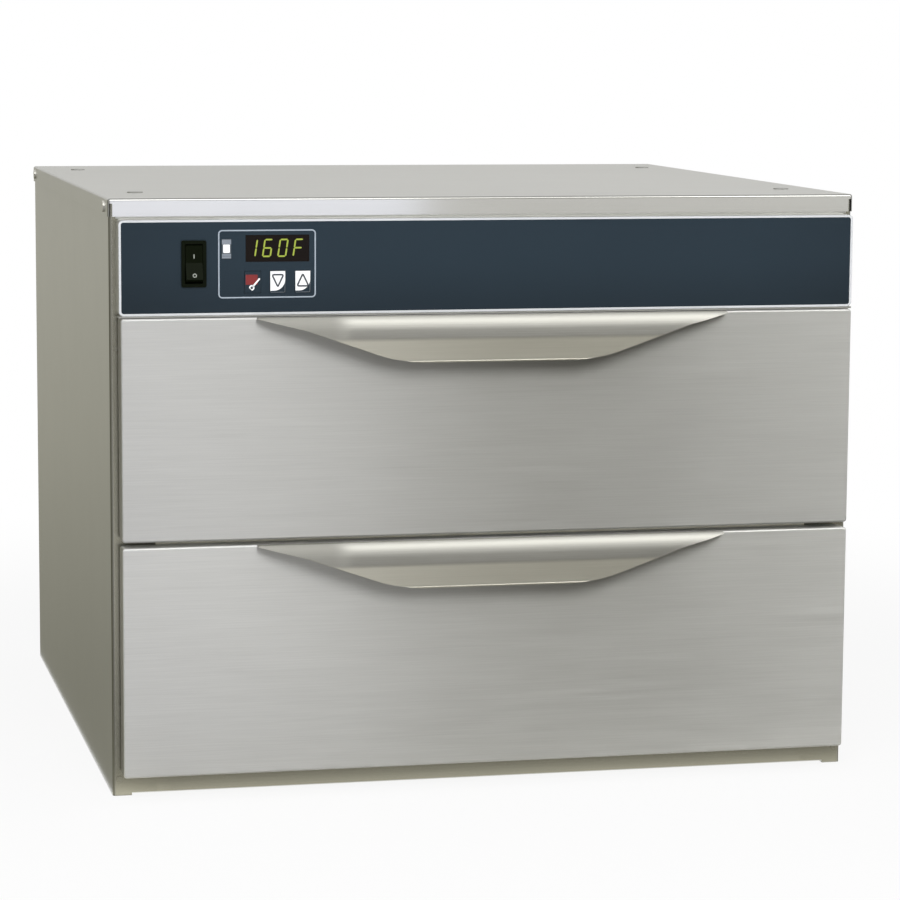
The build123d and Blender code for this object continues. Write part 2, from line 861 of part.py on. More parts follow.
def pan_block(seat, inset):
    """Drafted block with rounded corners under the pan's seat, drawn in by an inset but for its top."""
    with BuildPart() as block:
        with BuildSketch(Plane.XY.offset(seat)):
            with Locations((0, (pan_front_y + pan_back_y) / 2)):
                RectangleRounded(2 * (pan_half - inset), pan_length - 2 * inset, pan_corner_radius - inset)
        extrude(amount=inset - pan_depth, taper=pan_draft_degrees)
        fillet(block.faces().sort_by(Axis.Z)[0].edges(), pan_floor_radius - inset)
    return block.part


def food_pan(opening_bottom):
    """Deep pan with drafted walls, rounded corners and a flat rim."""
    seat = pan_seat(opening_bottom)
    with BuildPart() as pan:
        add(pan_block(seat, 0))
        with BuildSketch(Plane.XY.offset(seat)):
            with Locations((0, (pan_front_y + pan_back_y) / 2)):
                RectangleRounded(2 * (pan_half + pan_rim), pan_length + 2 * pan_rim,
                                 pan_corner_radius + pan_rim)
                RectangleRounded(2 * (pan_half - pan_wall), pan_length - 2 * pan_wall,
                                 pan_corner_radius - pan_wall, mode=Mode.SUBTRACT)
        extrude(amount=pan_wall)
        add(pan_block(seat, pan_wall), mode=Mode.SUBTRACT)
    return pan.part


def front_skin(bottom, top):
    """Drawer front's outer skin: a face with four returns."""
    with BuildPart() as skin:
        with BuildSketch(across_y(skin_back_y)):
            with Locations((0, (bottom + top) / 2)):
                RectangleRounded(2 * front_half, top - bottom, front_corner_radius)
        extrude(amount=front_skin_depth)
        fillet(skin.faces().sort_by(Axis.Y)[0].edges(), front_edge_radius)
        offset(amount=-front_sheet, openings=skin.faces().sort_by(Axis.Y)[-1])
    return skin.part


def front_fill(bottom, top):
    """Insulation inside a drawer front."""
    inset = front_sheet + front_fill_gap
    with BuildPart() as fill:
        with BuildSketch(across_y(skin_back_y - front_fill_gap)):
            with Locations((0, (bottom + top) / 2)):
                RectangleRounded(2 * (front_half - inset), top - bottom - 2 * inset, front_corner_radius)
        extrude(amount=front_skin_depth - inset - front_fill_gap)
    return fill.part


def inner_panel(bottom, top, opening_bottom):
    """Sheet that closes a drawer front's back, with the runner screws' holes."""
    with BuildPart() as panel:
        with BuildSketch(across_y(inner_back_y)):
            with Locations((0, (bottom + top) / 2)):
                RectangleRounded(2 * front_half, top - bottom, inner_panel_corner_radius)
        extrude(amount=front_sheet)
        for side in (-1, 1):
            drill(runner_screw_planes(opening_bottom, side))
    return panel.part


def seal(bottom, top):
    """Soft ring that a drawer front closes on."""
    outer_x = front_half - seal_inset
    outer_z = (top - bottom) / 2 - seal_inset
    with BuildPart() as ring:
        with BuildSketch(across_y(front_y - seal_gap)):
            with Locations((0, (bottom + top) / 2)):
                RectangleRounded(2 * outer_x, 2 * outer_z, inner_panel_corner_radius)
                Rectangle(2 * (outer_x - seal_width), 2 * (outer_z - seal_width), mode=Mode.SUBTRACT)
        extrude(amount=front_y - seal_gap - inner_back_y)
    return ring.part


def handle(top):
    """Hood handle: a quarter round from the front's top edge, a straight face and a hem, cut to a slant."""
    out_y = face_y - handle_reach
    in_y = out_y + handle_sheet
    bend = top - handle_reach
    low = top - handle_height
    root = front_edge_radius
    with BuildPart() as hood:
        with BuildSketch(Plane.YZ) as profile:
            with BuildLine():
                Line((face_y + root, top), (face_y, top))
                CenterArc((face_y, bend), handle_reach, 90, 90)
                Polyline((out_y, bend), (out_y, low), (in_y + handle_sheet, low),
                         (in_y + handle_sheet, low + handle_hem_height),
                         (in_y, low + handle_hem_height + handle_sheet), (in_y, bend))
                CenterArc((face_y, bend), handle_reach - handle_sheet, 90, 90)
                CenterArc((face_y + root, top - root), root, 90, 90)
            make_face()
            fillet(profile.vertices().group_by(Axis.Y)[0], handle_sheet * hem_round_share)
        extrude(amount=handle_tip_half, both=True)
        tips = [(side * handle_tip_half, top - handle_tip_height) for side in (-1, 1)]
        with BuildSketch(across_y(face_y + overrun)):
            with BuildLine():
                FilletPolyline(*slant_points(top, low, -1), *slant_points(top, low, 1)[::-1],
                               radius=handle_round_share * (handle_tip_half - handle_low_half))
                Polyline(tips[0], (tips[0][0], top + overrun), (tips[1][0], top + overrun), tips[1])
            make_face()
        extrude(amount=handle_reach + 2 * overrun, mode=Mode.INTERSECT)
    return hood.part


def slant_points(top, low, side):
    """Outline of one slanted end of the handle, from its tip to its low edge."""
    run = handle_tip_half - handle_low_half
    drop = top - handle_tip_height - low
    middle = [(side * (handle_tip_half - run * across), top - handle_tip_height - drop * down)
              for across, down in handle_slant_shares]
    return [(side * handle_tip_half, top - handle_tip_height), *middle, (side * handle_low_half, low)]


os.makedirs("parts", exist_ok=True)

# Casing
right_side = side_panel()
finish(right_side, "right_side_panel")
finish(mirrored(right_side), "left_side_panel")
finish(top_cover(), "top_cover")
finish(hole_plugs(), "cover_hole_plugs")
finish(screws(cover_screw_planes() + rear_screw_planes(), 2 * sheet), "casing_screws")
rivets = fasteners(rivet_planes(), rivet_head_radius, rivet_head_height, rivet_radius, 2 * sheet)
finish(rivets, "frame_rivets")
finish(back_panel(), "back_panel")
finish(base_pan(), "base_pan")
finish(leg_nuts(), "leg_nuts")
finish(bottom_rail(), "bottom_rail")
finish(frame_rail(mullion_bottom, mullion_top, cavity_x), "mullion")
finish(frame_rail(opening_ceiling + liner_sheet, panel_bottom, cavity_x), "top_rail")
finish(cord_gland(), "cord_gland")

# Heated cavity
right_wall = liner_wall()
finish(right_wall, "liner_right_wall")
finish(mirrored(right_wall), "liner_left_wall")
finish(liner_plate(opening_floor - liner_sheet), "liner_floor")
finish(liner_plate(opening_ceiling), "liner_ceiling")
finish(liner_back(), "liner_back_wall")
finish(heating_cables(), "heating_cables")
finish(insulation_boards(), "insulation_boards")
finish(temperature_probe(), "temperature_probe")
finish(terminal_block(), "terminal_block")

# Controls
finish(control_panel(), "control_panel")
finish(panel_film(), "panel_film")
finish(switch_housing(), "switch_housing")
finish(rocker(), "power_rocker")
finish(controller(), "controller")
finish(window(display_x, display_z, display_width, display_height, 0), "display_window")
light = window(indicator_x, indicator_z, indicator_width, indicator_height, indicator_proud)
finish(light, "indicator_light")
for key_name, place_x, place_width in key_places():
    corner = key_corner_radius if key_name == "set_key" else arrow_key_corner_radius
    finish(key(place_x, place_width, corner), key_name)

# Drawers and their slides
for drawer, (bottom, top, opening_bottom) in drawers.items():
    right_channel = slide_channel(opening_bottom)
    finish(right_channel, f"{drawer}_right_channel")
    finish(mirrored(right_channel), f"{drawer}_left_channel")
    roller_base = channel_floor(opening_bottom) + running_gap
    front_inner_x = channel_web_x - roller_side_gap - roller_width
    rear_inner_x = runner_out_x + roller_side_gap
    finish(roller_pair(front_inner_x, front_roller_y, roller_base + front_roller_radius, front_roller_radius),
           f"{drawer}_front_rollers")
    finish(roller_pair(rear_inner_x, rear_roller_y, roller_base + rear_roller_radius, rear_roller_radius),
           f"{drawer}_rear_rollers")
    right_runner = runner(opening_bottom)
    finish(right_runner, f"{drawer}_right_runner")
    finish(mirrored(right_runner), f"{drawer}_left_runner")
    finish(cross_bars(opening_bottom), f"{drawer}_cross_bars")
    finish(food_pan(opening_bottom), f"{drawer}_food_pan")
    finish(front_skin(bottom, top), f"{drawer}_front_skin")
    finish(front_fill(bottom, top), f"{drawer}_front_insulation")
    finish(inner_panel(bottom, top, opening_bottom), f"{drawer}_inner_panel")
    finish(seal(bottom, top), f"{drawer}_seal")
    finish(handle(top), f"{drawer}_handle")
    runner_planes = runner_screw_planes(opening_bottom, -1) + runner_screw_planes(opening_bottom, 1)
    finish(screws(runner_planes, slide_sheet + front_sheet), f"{drawer}_runner_screws")
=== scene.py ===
import math
from collections import namedtuple

import bmesh
import bpy
from bpy.props import FloatProperty, FloatVectorProperty, PointerProperty
from mathutils import Matrix, Vector


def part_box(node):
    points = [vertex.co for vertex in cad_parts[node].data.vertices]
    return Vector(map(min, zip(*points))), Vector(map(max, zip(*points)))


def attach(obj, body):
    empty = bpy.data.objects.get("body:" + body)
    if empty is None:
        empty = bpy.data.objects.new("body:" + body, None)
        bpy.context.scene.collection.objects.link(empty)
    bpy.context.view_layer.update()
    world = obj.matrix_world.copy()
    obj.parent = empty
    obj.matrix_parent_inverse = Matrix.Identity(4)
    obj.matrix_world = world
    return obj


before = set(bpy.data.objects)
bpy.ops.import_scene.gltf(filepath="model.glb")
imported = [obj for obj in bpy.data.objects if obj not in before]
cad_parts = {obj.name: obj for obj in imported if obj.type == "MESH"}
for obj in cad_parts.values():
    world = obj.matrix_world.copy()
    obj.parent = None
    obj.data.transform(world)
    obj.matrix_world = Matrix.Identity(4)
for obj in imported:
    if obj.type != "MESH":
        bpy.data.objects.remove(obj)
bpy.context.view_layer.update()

bl_info = {
    "name": "Double warming drawer",
    "version": (1, 0, 0),
    "blender": (4, 5, 0),
    "location": "View3D > Sidebar > Warmer",
    "description": "Finishes, prints and stage for a two-drawer food warmer",
    "category": "Object",
}

MM = 0.001
CABINET = "cabinet"
DRAWERS = ("lower", "upper")
# right, up and outwards for something printed on the control panel
PANEL_AXES = (Vector((1, 0, 0)), Vector((0, 0, 1)), Vector((0, -1, 0)))

# grain of the brushed steel: waves to the metre across it, and the stretch that draws them out along it
HAIR_WAVES = 1700
HAIR_STRETCH = 0.012
BAND_WAVES = 170
BAND_STRETCH = 0.05
# turn of the gloss with which a level grain spreads it upwards
UPWARD_TURN = 0.25
# how far a sheet's front face reaches back, and how far under its top a matt edge starts and is complete
FACE_DEPTH = 0.4 * MM
EDGE_START = 0.6 * MM
EDGE_FULL = 0.1 * MM
# between which heights and places the panel's film turns darker towards its foot, its left end and its right
# end
FOOT_FADE = (0.388, 0.440)
LEFT_FADE = (-0.36, -0.16)
RIGHT_FADE = (0.20, 0.38)

# finish of a face at the very front of a sheet: its place, its roughness and colour, the depth of the fold
# behind it that is painted darker as shade, and how much less metallic it is
FrontFace = namedtuple("FrontFace", "edge roughness tint fold dullness")


def length(name, description, millimetres):
    """A size in the sidebar, written in millimetres and kept in metres."""
    return FloatProperty(name=name, description=description, default=millimetres * MM, precision=5,
                         subtype="DISTANCE", unit="LENGTH")


def angle(name, description, degrees):
    """An angle in the sidebar, written in degrees."""
    return FloatProperty(name=name, description=description, default=math.radians(degrees), subtype="ANGLE")


def number(name, description, default, unit="NONE"):
    """A plain number in the sidebar."""
    return FloatProperty(name=name, description=description, default=default, unit=unit)


def share(name, description, default):
    """A number from 0 to 1 in the sidebar."""
    return FloatProperty(name=name, description=description, default=default, min=0, max=1, subtype="FACTOR")


def colour(name, description, default):
    """A linear colour in the sidebar."""
    return FloatVectorProperty(name=name, description=description, default=default, size=3, min=0, max=1,
                               subtype="COLOR")


class WarmerMetals(bpy.types.PropertyGroup):
    """Colours and gloss of the metal pieces."""
    sheet: colour("Casing sheet", "Brushed steel of the casing", (0.56, 0.56, 0.53))
    # painted shade: the flanges' dark olive colour stands in for the shadow in the gap beside the drawer
    # fronts
    flange: colour("Front flanges", "Steel of the sides' front flanges", (0.36, 0.35, 0.285))
    # partly painted shade: the rail's steel is toned darker and olive for the shade under the lower front;
    # the rivets share it
    rail: colour("Bottom rail", "Steel of the lowest rail and of the rivets", (0.40, 0.39, 0.325))
    # painted light: the mullion's pale olive colour, far lighter than steel, fills the dark slot between the
    # drawers with light
    mullion: colour("Mullion", "Dull steel between the drawers", (0.86, 0.83, 0.69))
    front: colour("Drawer fronts", "Brushed steel of the fronts", (0.57, 0.57, 0.55))
    # partly painted reflection: the handles' olive tint stands for a warm floor reflected in their face
    handle: colour("Handles", "Brushed steel of the hood handles", (0.53, 0.515, 0.445))
    # painted shade: the bends' colour is darker than the handles' face, for the dark band and a softer
    # highlight
    bend: colour("Handle bends", "Smooth steel round the hood handles' bend", (0.368, 0.363, 0.330))
    lining: colour("Lining", "Plain steel of the heated cavity", (0.62, 0.62, 0.60))
    plated: colour("Slides", "Zinc plate on the slides", (0.58, 0.59, 0.61))
    drawn: colour("Food pans", "Drawn steel of the pans", (0.66, 0.66, 0.65))
    bright: colour("Fasteners", "Plate on the screws, the nuts and the probe", (0.60, 0.59, 0.54))
    sheet_gloss: share("Casing roughness", "Roughness of the casing's brushed face", 0.36)
    front_gloss: share("Front roughness", "Roughness of the drawer fronts", 0.34)
    lip_gloss: share("Lip roughness", "Roughness of the cover's front lip", 0.10)
    flange_gloss: share("Flange roughness", "Roughness of the sides' front flanges", 0.24)
    handle_gloss: share("Handle roughness", "Roughness of the hood handles' bend", 0.42)
    spread: share("Upward spread", "How far the fronts' hairlines draw a reflection out upwards", 1.0)


class WarmerPrints(bpy.types.PropertyGroup):
    """Colours and line widths of the film, the display and the keys."""
    film: colour("Film", "Slate ink of the panel film", (0.0125, 0.0245, 0.036))
    border: colour("Border", "Pale border round the film", (0.56, 0.575, 0.595))
    line: colour("Keypad line", "Line round the controller", (0.33, 0.38, 0.44))
    digit: colour("Digits", "Lit segments of the display", (0.31, 0.38, 0.035))
    window: colour("Window", "Tinted window in front of the digits", (0.007, 0.0045, 0.0035))
    lamp: colour("Lamp", "Lit square of the indicator", (1.0, 1.0, 1.0))
    patch: colour("Set patch", "Red patch on the set key", (0.19, 0.016, 0.016))
    key_white: colour("Key white", "White of the arrow keys", (0.86, 0.87, 0.88))
    key_line: colour("Key symbol", "Outline of the arrows", (0.045, 0.050, 0.060))
    border_width: length("Border width", "Width of the film's border", 1.8)
    line_width: length("Line width", "Width of the line round the controller", 1.0)
    ink: length("Ink thickness", "How far a print stands proud", 0.04)


class WarmerStage(bpy.types.PropertyGroup):
    """Camera, lamps and floor."""
    eye: FloatVectorProperty(name="Camera place", description="Where the camera stands", size=3,
                             default=(-0.613875, -2.822533, 0.619807), subtype="XYZ", unit="LENGTH")
    yaw: angle("Yaw", "Turn of the view about the upright", -12.929)
    pitch: angle("Pitch", "Downward slope of the view", 7.5027)
    roll: angle("Roll", "Turn of the view about its own line", 0.3439)
    lens: number("Lens", "Focal length in millimetres on a 36 mm sensor", 127.7323)
    ambient: number("Ambient", "Strength of the soft light from all round", 0.55)
    key: number("Key lamp", "Power of the key lamp", 45.0, "POWER")
    fill: number("Fill lamp", "Power of the fill lamp", 14.0, "POWER")
    floor: colour("Floor", "Pale floor under the warmer", (0.90, 0.90, 0.90))
    floor_white: share("Floor white", "How far the floor turns into the white background", 0.86)


class Value:
    """One output in a node tree, which joins in plain arithmetic."""

    def __init__(self, finish, socket):
        self.finish = finish
        self.socket = socket

    def math(self, operation, first, second):
        return self.finish.node("ShaderNodeMath", {"operation": operation}, {0: first, 1: second})

    def __add__(self, other):
        return self.math("ADD", self, other)

    def __sub__(self, other):
        return self.math("SUBTRACT", self, other)

    def __mul__(self, other):
        return self.math("MULTIPLY", self, other)

    def __truediv__(self, other):
        return self.math("DIVIDE", self, other)

    def __rsub__(self, other):
        return self.math("SUBTRACT", other, self)

    def __rtruediv__(self, other):
        return self.math("DIVIDE", other, self)

    __radd__ = __add__
    __rmul__ = __mul__


class Finish:
    """A node tree under construction."""

    def __init__(self, tree):
        self.tree = tree
        tree.nodes.clear()

    def node(self, kind, settings, inputs, output=0):
        """Adds a node, sets it up, then fills its sockets, and gives one of its outputs."""
        made = self.tree.nodes.new(kind)
        for key, setting in settings.items():
            if key == "stops":
                while len(made.color_ramp.elements) < len(setting):
                    made.color_ramp.elements.new(0.5)
                for stop, (place, tone) in zip(made.color_ramp.elements, setting):
                    stop.position = place
                    stop.color = (*tone, 1)
            else:
                setattr(made, key, setting)
        for key, given in inputs.items():
            if isinstance(given, Value):
                self.tree.links.new(given.socket, made.inputs[key])
            elif made.inputs[key].type == "RGBA" and len(given) == 3:
                made.inputs[key].default_value = (*given, 1)
            else:
                made.inputs[key].default_value = given
        return Value(self, made.outputs[output]) if made.outputs else None

    def place(self):
        """Object coordinates."""
        return self.node("ShaderNodeTexCoord", {}, {}, "Object")

    def along(self, axis):
        """One Object coordinate."""
        return self.node("ShaderNodeSeparateXYZ", {}, {0: self.place()}, axis)

    def noise(self, scale, detail, stretch=(1, 1, 1)):
        """Noise with a number of waves to the metre, drawn out by a stretch along each axis."""
        spot = self.node("ShaderNodeMapping", {}, {"Vector": self.place(), "Scale": stretch})
        return self.node("ShaderNodeTexNoise", {}, {"Vector": spot, "Scale": scale, "Detail": detail})

    def blend(self, factor, first, second):
        """A colour between two others."""
        return self.node("ShaderNodeMix", {"data_type": "RGBA"}, {0: factor, 6: first, 7: second}, 2)

    def ramp(self, value, low, high):
        """0 under low, 1 over high, and a soft step between them."""
        return self.node("ShaderNodeMapRange", {"interpolation_type": "SMOOTHSTEP"},
                         {"Value": value, "From Min": low, "From Max": high})

    def top_face(self, top, start):
        """1 on the level face at a top, and 0 from a start under it downwards."""
        return self.ramp(self.along("Z"), top - start, top - EDGE_FULL)

    def bump(self, height, strength, distance):
        """A normal bent by a height."""
        return self.node("ShaderNodeBump", {}, {"Strength": strength, "Distance": distance, "Height": height})

    def surface(self, inputs):
        """Closes the tree with a Principled shader."""
        shader = self.node("ShaderNodeBsdfPrincipled", {}, inputs)
        self.node("ShaderNodeOutputMaterial", {}, {"Surface": shader})


def new_material(name):
    """A material with an empty tree, and the finish that fills it."""
    material = bpy.data.materials.new(name)
    material.use_nodes = True
    return material, Finish(material.node_tree)


def toned(tint, factor):
    """A colour made darker or lighter."""
    return tuple(min(1.0, channel * factor) for channel in tint)


def grey(tone):
    """A colour of three like channels."""
    return (tone, tone, tone)


def drawn_out(grain, factor):
    """Stretch that draws a noise out along one axis."""
    return tuple(factor if axis == grain else 1.0 for axis in "XYZ")


def brushed_steel(name, tint, grain, roughness, spread=0.0, front=None, dull_top=None):
    """Steel with fine hairlines along one axis, faint clouds and wiped smudges.

    spread draws its gloss out upwards, front is the finish of a face at the very front, whose fold behind
    it is painted darker as shade, and dull_top is the height from which the sheet is matt.
    """
    material, steel = new_material(name)
    hair = steel.noise(HAIR_WAVES, 2.0, drawn_out(grain, HAIR_STRETCH))
    band = steel.noise(BAND_WAVES, 3.0, drawn_out(grain, BAND_STRETCH))
    cloud = steel.noise(5.0, 3.0)
    smudge = steel.noise(19.0, 4.0)
    tone = 0.5 + 0.9 * (hair - 0.5) + 0.35 * (band - 0.5) + 0.3 * (cloud - 0.5)
    shade = steel.blend(tone, toned(tint, 0.90), toned(tint, 1.09))
    wear = 0.10 * (hair - 0.5) + 0.05 * (band - 0.5) + 0.05 * (smudge - 0.5)
    gloss = roughness + wear
    metal = 1.0
    if front:
        depth = steel.along("Y") - front.edge
        face = 1 - steel.ramp(depth, 0.0, FACE_DEPTH)
        # painted shade: the fold just behind the front face is blended to half the face's tone
        bend = (1 - face) * (1 - steel.ramp(depth, 0.6 * front.fold, front.fold))
        gloss = roughness + wear * (1 - 0.85 * face) + face * (front.roughness - roughness)
        shade = steel.blend(bend, steel.blend(face, shade, front.tint), toned(front.tint, 0.5))
        metal = 1 - front.dullness * face
        hair = hair * (1 - 0.9 * face)
    if dull_top is not None:
        metal = 1 - 0.65 * steel.top_face(dull_top, EDGE_START)
    steel.surface({
        "Base Color": shade,
        "Metallic": metal,
        "Roughness": gloss,
        "Anisotropic": spread,
        "Anisotropic Rotation": UPWARD_TURN,
        "Normal": steel.bump(hair, 0.05, 0.05 * MM),
    })
    return material


def plain_steel(name, tint, roughness, mottle):
    """Plated or drawn metal with a soft mottle and rubbed streaks."""
    material, metal = new_material(name)
    spots = metal.noise(mottle, 4.0)
    rubbed = metal.noise(260, 2.0, drawn_out("Y", 0.08))
    tone = 0.25 + 0.5 * spots + 0.3 * (rubbed - 0.5)
    metal.surface({
        "Base Color": metal.blend(tone, toned(tint, 0.86), toned(tint, 1.08)),
        "Metallic": 1.0,
        "Roughness": roughness + 0.12 * (spots - 0.5) + 0.08 * (rubbed - 0.5),
        "Normal": metal.bump(rubbed, 0.04, 0.1 * MM),
    })
    return material


def moulded(name, tint, roughness, grain=900.0, depth=0.06, shine=0.5):
    """Moulded plastic or rubber with a fine grain and a little dust in it."""
    material, plastic = new_material(name)
    pits = plastic.noise(grain, 2.0)
    dust = plastic.noise(23.0, 4.0)
    plastic.surface({
        "Base Color": plastic.blend(0.35 * pits + 0.65 * dust, toned(tint, 0.82), toned(tint, 1.18)),
        "Roughness": roughness + 0.10 * (dust - 0.5) + 0.08 * (pits - 0.5),
        "Specular IOR Level": shine,
        "Normal": plastic.bump(pits, depth, 0.1 * MM),
    })
    return material


def ink(name, tint):
    """Screen-printed ink with a faint mesh grain."""
    material, coat = new_material(name)
    mesh_grain = coat.noise(1300, 1.0)
    wash = coat.noise(60, 3.0)
    coat.surface({
        "Base Color": coat.blend(0.5 * mesh_grain + 0.5 * wash, toned(tint, 0.93), toned(tint, 1.06)),
        "Roughness": 0.42 + 0.1 * (mesh_grain - 0.5),
        "Specular IOR Level": 0.35,
        "Normal": coat.bump(mesh_grain, 0.04, 0.03 * MM),
    })
    return material


def film_ink(name, tint):
    """Slate film: satin print, darker towards its lower edge and both ends."""
    material, film = new_material(name)
    pits = film.noise(1500, 1.0)
    cloud = film.noise(7.0, 2.0)
    foot = film.ramp(film.along("Z"), *FOOT_FADE)
    left = film.ramp(film.along("X"), *LEFT_FADE)
    right = 1 - film.ramp(film.along("X"), *RIGHT_FADE)
    shade = 0.40 * foot + 0.40 * left * right + 0.2 * cloud + 0.1 * (pits - 0.5)
    film.surface({
        "Base Color": film.blend(shade, toned(tint, 0.50), toned(tint, 1.10)),
        "Roughness": 0.36 + 0.06 * (pits - 0.5) + 0.06 * (cloud - 0.5),
        "Specular IOR Level": 0.22,
        "Normal": film.bump(pits, 0.05, 0.02 * MM),
    })
    return material


def lit(name, tint, strength):
    """A lit print, a little brighter in patches where its lamps sit."""
    material, glow = new_material(name)
    patches = glow.noise(420, 2.0)
    glow.surface({
        "Base Color": glow.blend(patches, toned(tint, 0.20), toned(tint, 0.26)),
        "Roughness": 0.5,
        "Emission Color": glow.blend(patches, toned(tint, 0.88), toned(tint, 1.0)),
        "Emission Strength": strength,
    })
    return material


def dress(node, material):
    """Gives a CAD node its finish."""
    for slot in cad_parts[node].material_slots:
        slot.material = material


def dress_all(nodes, material):
    """Gives several CAD nodes the same finish."""
    for node in nodes:
        dress(node, material)


def new_object(bm, name, material):
    """Makes a bmesh an object of the scene."""
    mesh = bpy.data.meshes.new(name)
    bm.to_mesh(mesh)
    bm.free()
    made = bpy.data.objects.new(name, mesh)
    made.data.materials.append(material)
    bpy.context.scene.collection.objects.link(made)
    return made


def piece(bm, name, body, material):
    """Makes a finished bmesh a piece that rides on a body."""
    bmesh.ops.recalc_face_normals(bm, faces=bm.faces[:])
    made = new_object(bm, name, material)
    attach(made, body)


def disc(radius, segments=24):
    """One flat round face about the origin, or an even polygon where it has few segments."""
    bm = bmesh.new()
    bmesh.ops.create_circle(bm, cap_ends=True, segments=segments, radius=radius)
    return bm


def rounded_plate(width, height, corner):
    """One flat face with rounded corners, about the origin."""
    bm = bmesh.new()
    bmesh.ops.create_grid(bm, x_segments=1, y_segments=1, size=0.5)
    bmesh.ops.scale(bm, vec=(width, height, 1), verts=bm.verts[:])
    if corner:
        round_corners(bm, bm.verts[:], corner)
    return bm


def round_corners(bm, corners, radius, segments=6):
    """Rounds some corners of a flat face."""
    bmesh.ops.bevel(bm, geom=corners, offset=radius, offset_type="OFFSET", affect="VERTICES",
                    segments=segments, profile=0.5, material=-1)


def hollow(bm, band):
    """Leaves a band of a flat face along its outline."""
    face = bm.faces[:][0]
    bmesh.ops.inset_individual(bm, faces=[face], thickness=band, use_even_offset=True)
    bmesh.ops.delete(bm, geom=[face], context="FACES")


def thicken(bm, thickness):
    """Gives flat faces a thickness towards +Z, with a back."""
    grown = bmesh.ops.extrude_face_region(bm, geom=bm.faces[:], use_keep_orig=True)
    tops = [item for item in grown["geom"] if isinstance(item, bmesh.types.BMVert)]
    bmesh.ops.translate(bm, vec=(0, 0, thickness), verts=tops)


def set_down(bm, place, axes):
    """Moves a shape drawn on the XY plane to its place, with its X, Y and Z along three axes."""
    right, up, out = axes
    turn = Matrix((right, up, out)).transposed().to_4x4()
    bmesh.ops.transform(bm, matrix=Matrix.Translation(place) @ turn, verts=bm.verts[:])


def printed(bm, place, name, body, material, axes=PANEL_AXES, layer=1.0):
    """Lays a flat outline on a face as a thin print, one or more layers of ink thick."""
    thicken(bm, layer * bpy.context.scene.warmer_prints.ink)
    set_down(bm, place, axes)
    piece(bm, name, body, material)


def node_face(node):
    """Middle of a node's front face, with its width and height."""
    low, high = (Vector(corner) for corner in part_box(node))
    middle = (low + high) / 2
    return Vector((middle.x, low.y, middle.z)), high.x - low.x, high.z - low.z


class WARMER_OT_casing(bpy.types.Operator):
    """Finish the casing: sides, cover, back, base and the rails of the face"""
    bl_idname = "warmer.casing"
    bl_label = "Casing"

    # depths over which the bend behind a side's flange and over the cover's lip is painted darker as shade
    side_fold_shade: length("Side fold", "Depth of the dark bend behind a side's front flange", 3.0)
    cover_fold_shade: length("Cover fold", "Depth of the dark bend over the cover's front lip", 2.0)
    flange_dullness: share("Flange dullness", "How much less metallic a side's front flange looks", 0.15)
    foot_gap: length("Foot gap", "Play between the panel's turned-down edge and the upper front", 0.5)
    foot_depth: length("Foot depth", "Depth of the panel's turned-down edge", 9.0)
    play: length("Play", "Room round the panel's turned edges", 0.05)

    def execute(self, context):
        metals = context.scene.warmer_metals
        # the flanges' front faces take their painted-shade colour, and each fold is painted darker as shade
        flange = FrontFace(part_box("left_side_panel")[0][1], metals.flange_gloss, metals.flange,
                           self.side_fold_shade, self.flange_dullness)
        lip = FrontFace(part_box("top_cover")[0][1], metals.lip_gloss, metals.sheet, self.cover_fold_shade, 0.0)
        upright = brushed_steel("casing_side_steel", metals.sheet, "Z", metals.sheet_gloss, front=flange)
        level = brushed_steel("casing_rail_steel", metals.sheet, "X", metals.sheet_gloss)
        cover = brushed_steel("cover_steel", metals.sheet, "X", metals.sheet_gloss, front=lip)
        # the rail's darker olive colour partly paints the shade under the lower front
        rail = brushed_steel("bottom_rail_steel", metals.rail, "X", metals.flange_gloss)
        # painted light: pale, mostly matt steel so that the slot between the drawers reads lit
        mullion = brushed_steel("mullion_steel", metals.mullion, "X", metals.sheet_gloss,
                                dull_top=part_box("mullion")[0][2])
        dress_all(("right_side_panel", "left_side_panel", "back_panel"), upright)
        dress_all(("base_pan", "top_rail", "control_panel"), level)
        dress("bottom_rail", rail)
        dress("mullion", mullion)
        dress("top_cover", cover)
        self.turned_edges(level)
        return {"FINISHED"}

    def turned_edges(self, material):
        """The panel's edges, turned up behind its top to the cover and down under its foot."""
        low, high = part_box("control_panel")
        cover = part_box("top_cover")[0]
        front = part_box("upper_front_skin")[1]
        self.fold("panel_back_edge", (low[0], cover[1] + self.play, high[2] - self.play),
                  (high[0], high[1] - self.play, cover[2] - self.play), material)
        self.fold("panel_foot_edge", (low[0], low[1] + self.play, front[2] + self.foot_gap),
                  (high[0], low[1] + self.foot_depth, low[2] + self.play), material)

    def fold(self, name, low, high, material):
        """A turned edge of the control panel's sheet, as a bar between two corners."""
        low, high = Vector(low), Vector(high)
        bm = bmesh.new()
        shape = Matrix.Translation((low + high) / 2) @ Matrix.Diagonal((*(high - low), 1))
        bmesh.ops.create_cube(bm, size=1.0, matrix=shape)
        piece(bm, name, CABINET, material)


class WARMER_OT_fasteners(bpy.types.Operator):
    """Finish the screws, rivets, nuts and hole plugs"""
    bl_idname = "warmer.fasteners"
    bl_label = "Fasteners"

    def execute(self, context):
        metals = context.scene.warmer_metals
        dress("frame_rivets", plain_steel("rivet_steel", metals.rail, 0.30, 240.0))
        dress_all(("casing_screws", "leg_nuts", "lower_runner_screws", "upper_runner_screws"),
                  plain_steel("fastener_plate", metals.bright, 0.36, 240.0))
        dress("cover_hole_plugs", plain_steel("plug_plate", toned(metals.sheet, 0.7), 0.34, 120.0))
        return {"FINISHED"}


